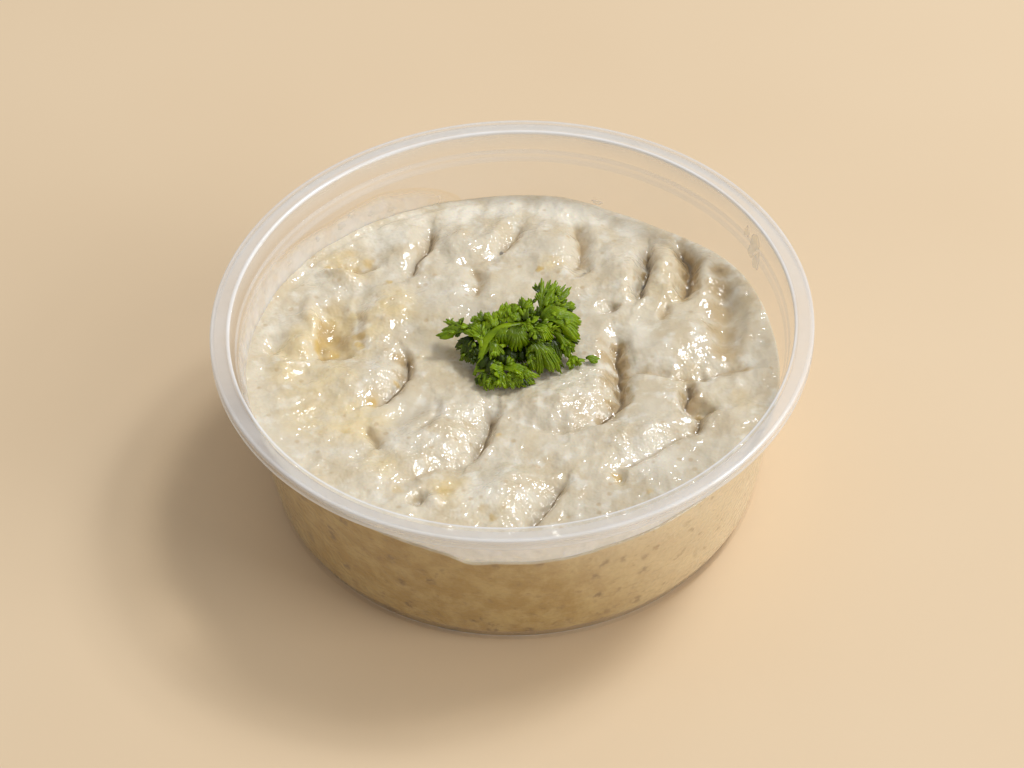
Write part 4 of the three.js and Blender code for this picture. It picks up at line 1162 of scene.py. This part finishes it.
def parsley_material():
    """Fresh leaf: deep green, paler along veins and stalks, with painted light and shade by tone, a
    painted highlight along the margins, and a soft waxy gloss.
    """
    graph = Graph("curly parsley leaf")
    shader = graph.shader
    colour = graph.tint(SHADED_LEAF, LIT_LEAF, graph.marked("tone", -0.3, 1.1))
    patches = graph.span(graph.noise(2.4, 3.0), 0.4, 0.65)
    patches = graph.times(patches, graph.marked("tone", 0.0, 0.4, 0.0, 0.7))
    colour = graph.tint(colour, FRESH_LEAF, patches)
    for kind, line, most in LEAF_LINES:
        shown = graph.times(graph.mark(kind), graph.marked("tone", 0.0, 0.5, 0.05, most))
        colour = graph.tint(colour, line, shown)
    graph.put(shader.inputs["Base Color"], colour)
    graph.put(shader.inputs["Roughness"], 0.27)
    graph.put(shader.inputs["Specular IOR Level"], 0.25)
    graph.put(shader.inputs["Subsurface Weight"], 0.3)
    shader.inputs["Subsurface Radius"].default_value = (0.5, 0.9, 0.08)
    graph.put(shader.inputs["Subsurface Scale"], 0.5 * MM)
    graph.put(shader.inputs["Normal"], graph.bump(graph.noise(0.5, 2.0), 0.08))
    return graph.material


parsley_green = parsley_material()
noise.seed_set(CRUMPLE_SEED)
leaf_chance = np.random.default_rng(LEAF_SEED)
sprig_parts = [swept_stalks(parsley_green)]
sprig_parts += [blade_surface(blade, leaf_chance) for blade in BLADES]
for sprig_blade in BLADES[SMOOTH_BLADES:]:
    small_blades = leaflets(sprig_blade, leaf_chance)
    sprig_parts += [blade_surface(leaflet, leaf_chance, SMALL_BLADE) for leaflet in small_blades]
inner_blades = [inner_blade(index) for index in range(INNER_BLADES)]
sprig_parts += [blade_surface(blade, leaf_chance, SMALL_BLADE) for blade in inner_blades]
parsley_sprig = leaf_piece("parsley_sprig", sprig_parts, parsley_green)
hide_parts("parsley")
torn_scrap = leaf_piece("parsley_torn_scrap", [blade_surface(SCRAP, leaf_chance)], parsley_green)
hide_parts("parsley_scrap")


# ---------------------------------------------------------------------------------------------
# Table, lamps and camera. A plain pale table top, a soft lamp and a small one for the glints high
# at the right and a little behind, a broad low one at the front right, a pale warm sky, and a long
# lens that looks down at the tub.
# ---------------------------------------------------------------------------------------------
TABLE_HALF = 1500
TABLE_TOP = (0.77, 0.61, 0.42)
WARM_TABLE_TOP = (0.72, 0.55, 0.36)

# Lamps: name, azimuth and elevation in degrees, size in metres, power in watts, and colour.
LAMPS = [
    ("key", 33, 54, 0.5, 17, (0.97, 0.985, 1.0)),
    ("glint", 30, 55, 0.2, 4.5, (0.96, 0.985, 1.0)),
    ("front_right", -25, 26, 1.0, 16, (1.0, 0.99, 0.97)),
]
LAMP_DISTANCE = 2.0
SKY = (1.0, 0.965, 0.92)
SKY_STRENGTH = 0.46

# The camera: its sensor in millimetres, its lens as a share of the sensor, its height angle, its
# roll, its distance in metres, and the point that it looks at.
SENSOR_WIDTH = 36
LENS_TO_SENSOR = 4000 / 1024
CAMERA_ELEVATION = math.radians(45.01)
CAMERA_ROLL = math.radians(-2.417)
CAMERA_DISTANCE = 0.793
CAMERA_TARGET = Vector((-0.44, 0, 22.21)) * MM


def table():
    """A plain pale table top."""
    half = TABLE_HALF
    corners = [(-half, -half, 0), (half, -half, 0), (half, half, 0), (-half, half, 0)]
    top = mesh_piece("table_top", corners, [(0, 1, 2, 3)])
    graph = Graph("pale table")
    graph.put(graph.shader.inputs["Base Color"], graph.tint(TABLE_TOP, WARM_TABLE_TOP, graph.noise(90)))
    graph.put(graph.shader.inputs["Roughness"], 0.6)
    top.data.materials.append(graph.material)


def lamp(name, azimuth, elevation, size, power, colour):
    """A square soft lamp that faces the tub."""
    data = bpy.data.lights.new(name, "AREA")
    data.size = size
    data.energy = power
    data.color = colour
    piece = bpy.data.objects.new(name, data)
    bpy.context.scene.collection.objects.link(piece)
    turn, rise = math.radians(azimuth), math.radians(elevation)
    level = math.cos(rise)
    away = Vector((math.cos(turn) * level, math.sin(turn) * level, math.sin(rise)))
    piece.location = CAMERA_TARGET + away * LAMP_DISTANCE
    piece.rotation_euler = away.to_track_quat("Z", "Y").to_euler()


def set_camera():
    """The camera's place and turn, from its height angle, its roll and its distance."""
    away = Vector((0, -math.cos(CAMERA_ELEVATION), math.sin(CAMERA_ELEVATION)))
    right = Vector((1, 0, 0))
    up = away.cross(right)
    rolled_right = math.cos(CAMERA_ROLL) * right + math.sin(CAMERA_ROLL) * up
    data = bpy.data.cameras.new("camera")
    data.sensor_width = SENSOR_WIDTH
    data.lens = SENSOR_WIDTH * LENS_TO_SENSOR
    piece = bpy.data.objects.new("camera", data)
    bpy.context.scene.collection.objects.link(piece)
    turn = Matrix((rolled_right, away.cross(rolled_right), away)).transposed().to_4x4()
    piece.matrix_world = Matrix.Translation(CAMERA_TARGET + away * CAMERA_DISTANCE) @ turn
    bpy.context.scene.camera = piece


table()
for entry in LAMPS:
    lamp(*entry)
world = bpy.data.worlds.new("studio")
world.use_nodes = True
world.node_tree.nodes["Background"].inputs["Color"].default_value = (*SKY, 1)
world.node_tree.nodes["Background"].inputs["Strength"].default_value = SKY_STRENGTH
bpy.context.scene.world = world
bpy.context.scene.view_settings.view_transform = "Standard"
set_camera()
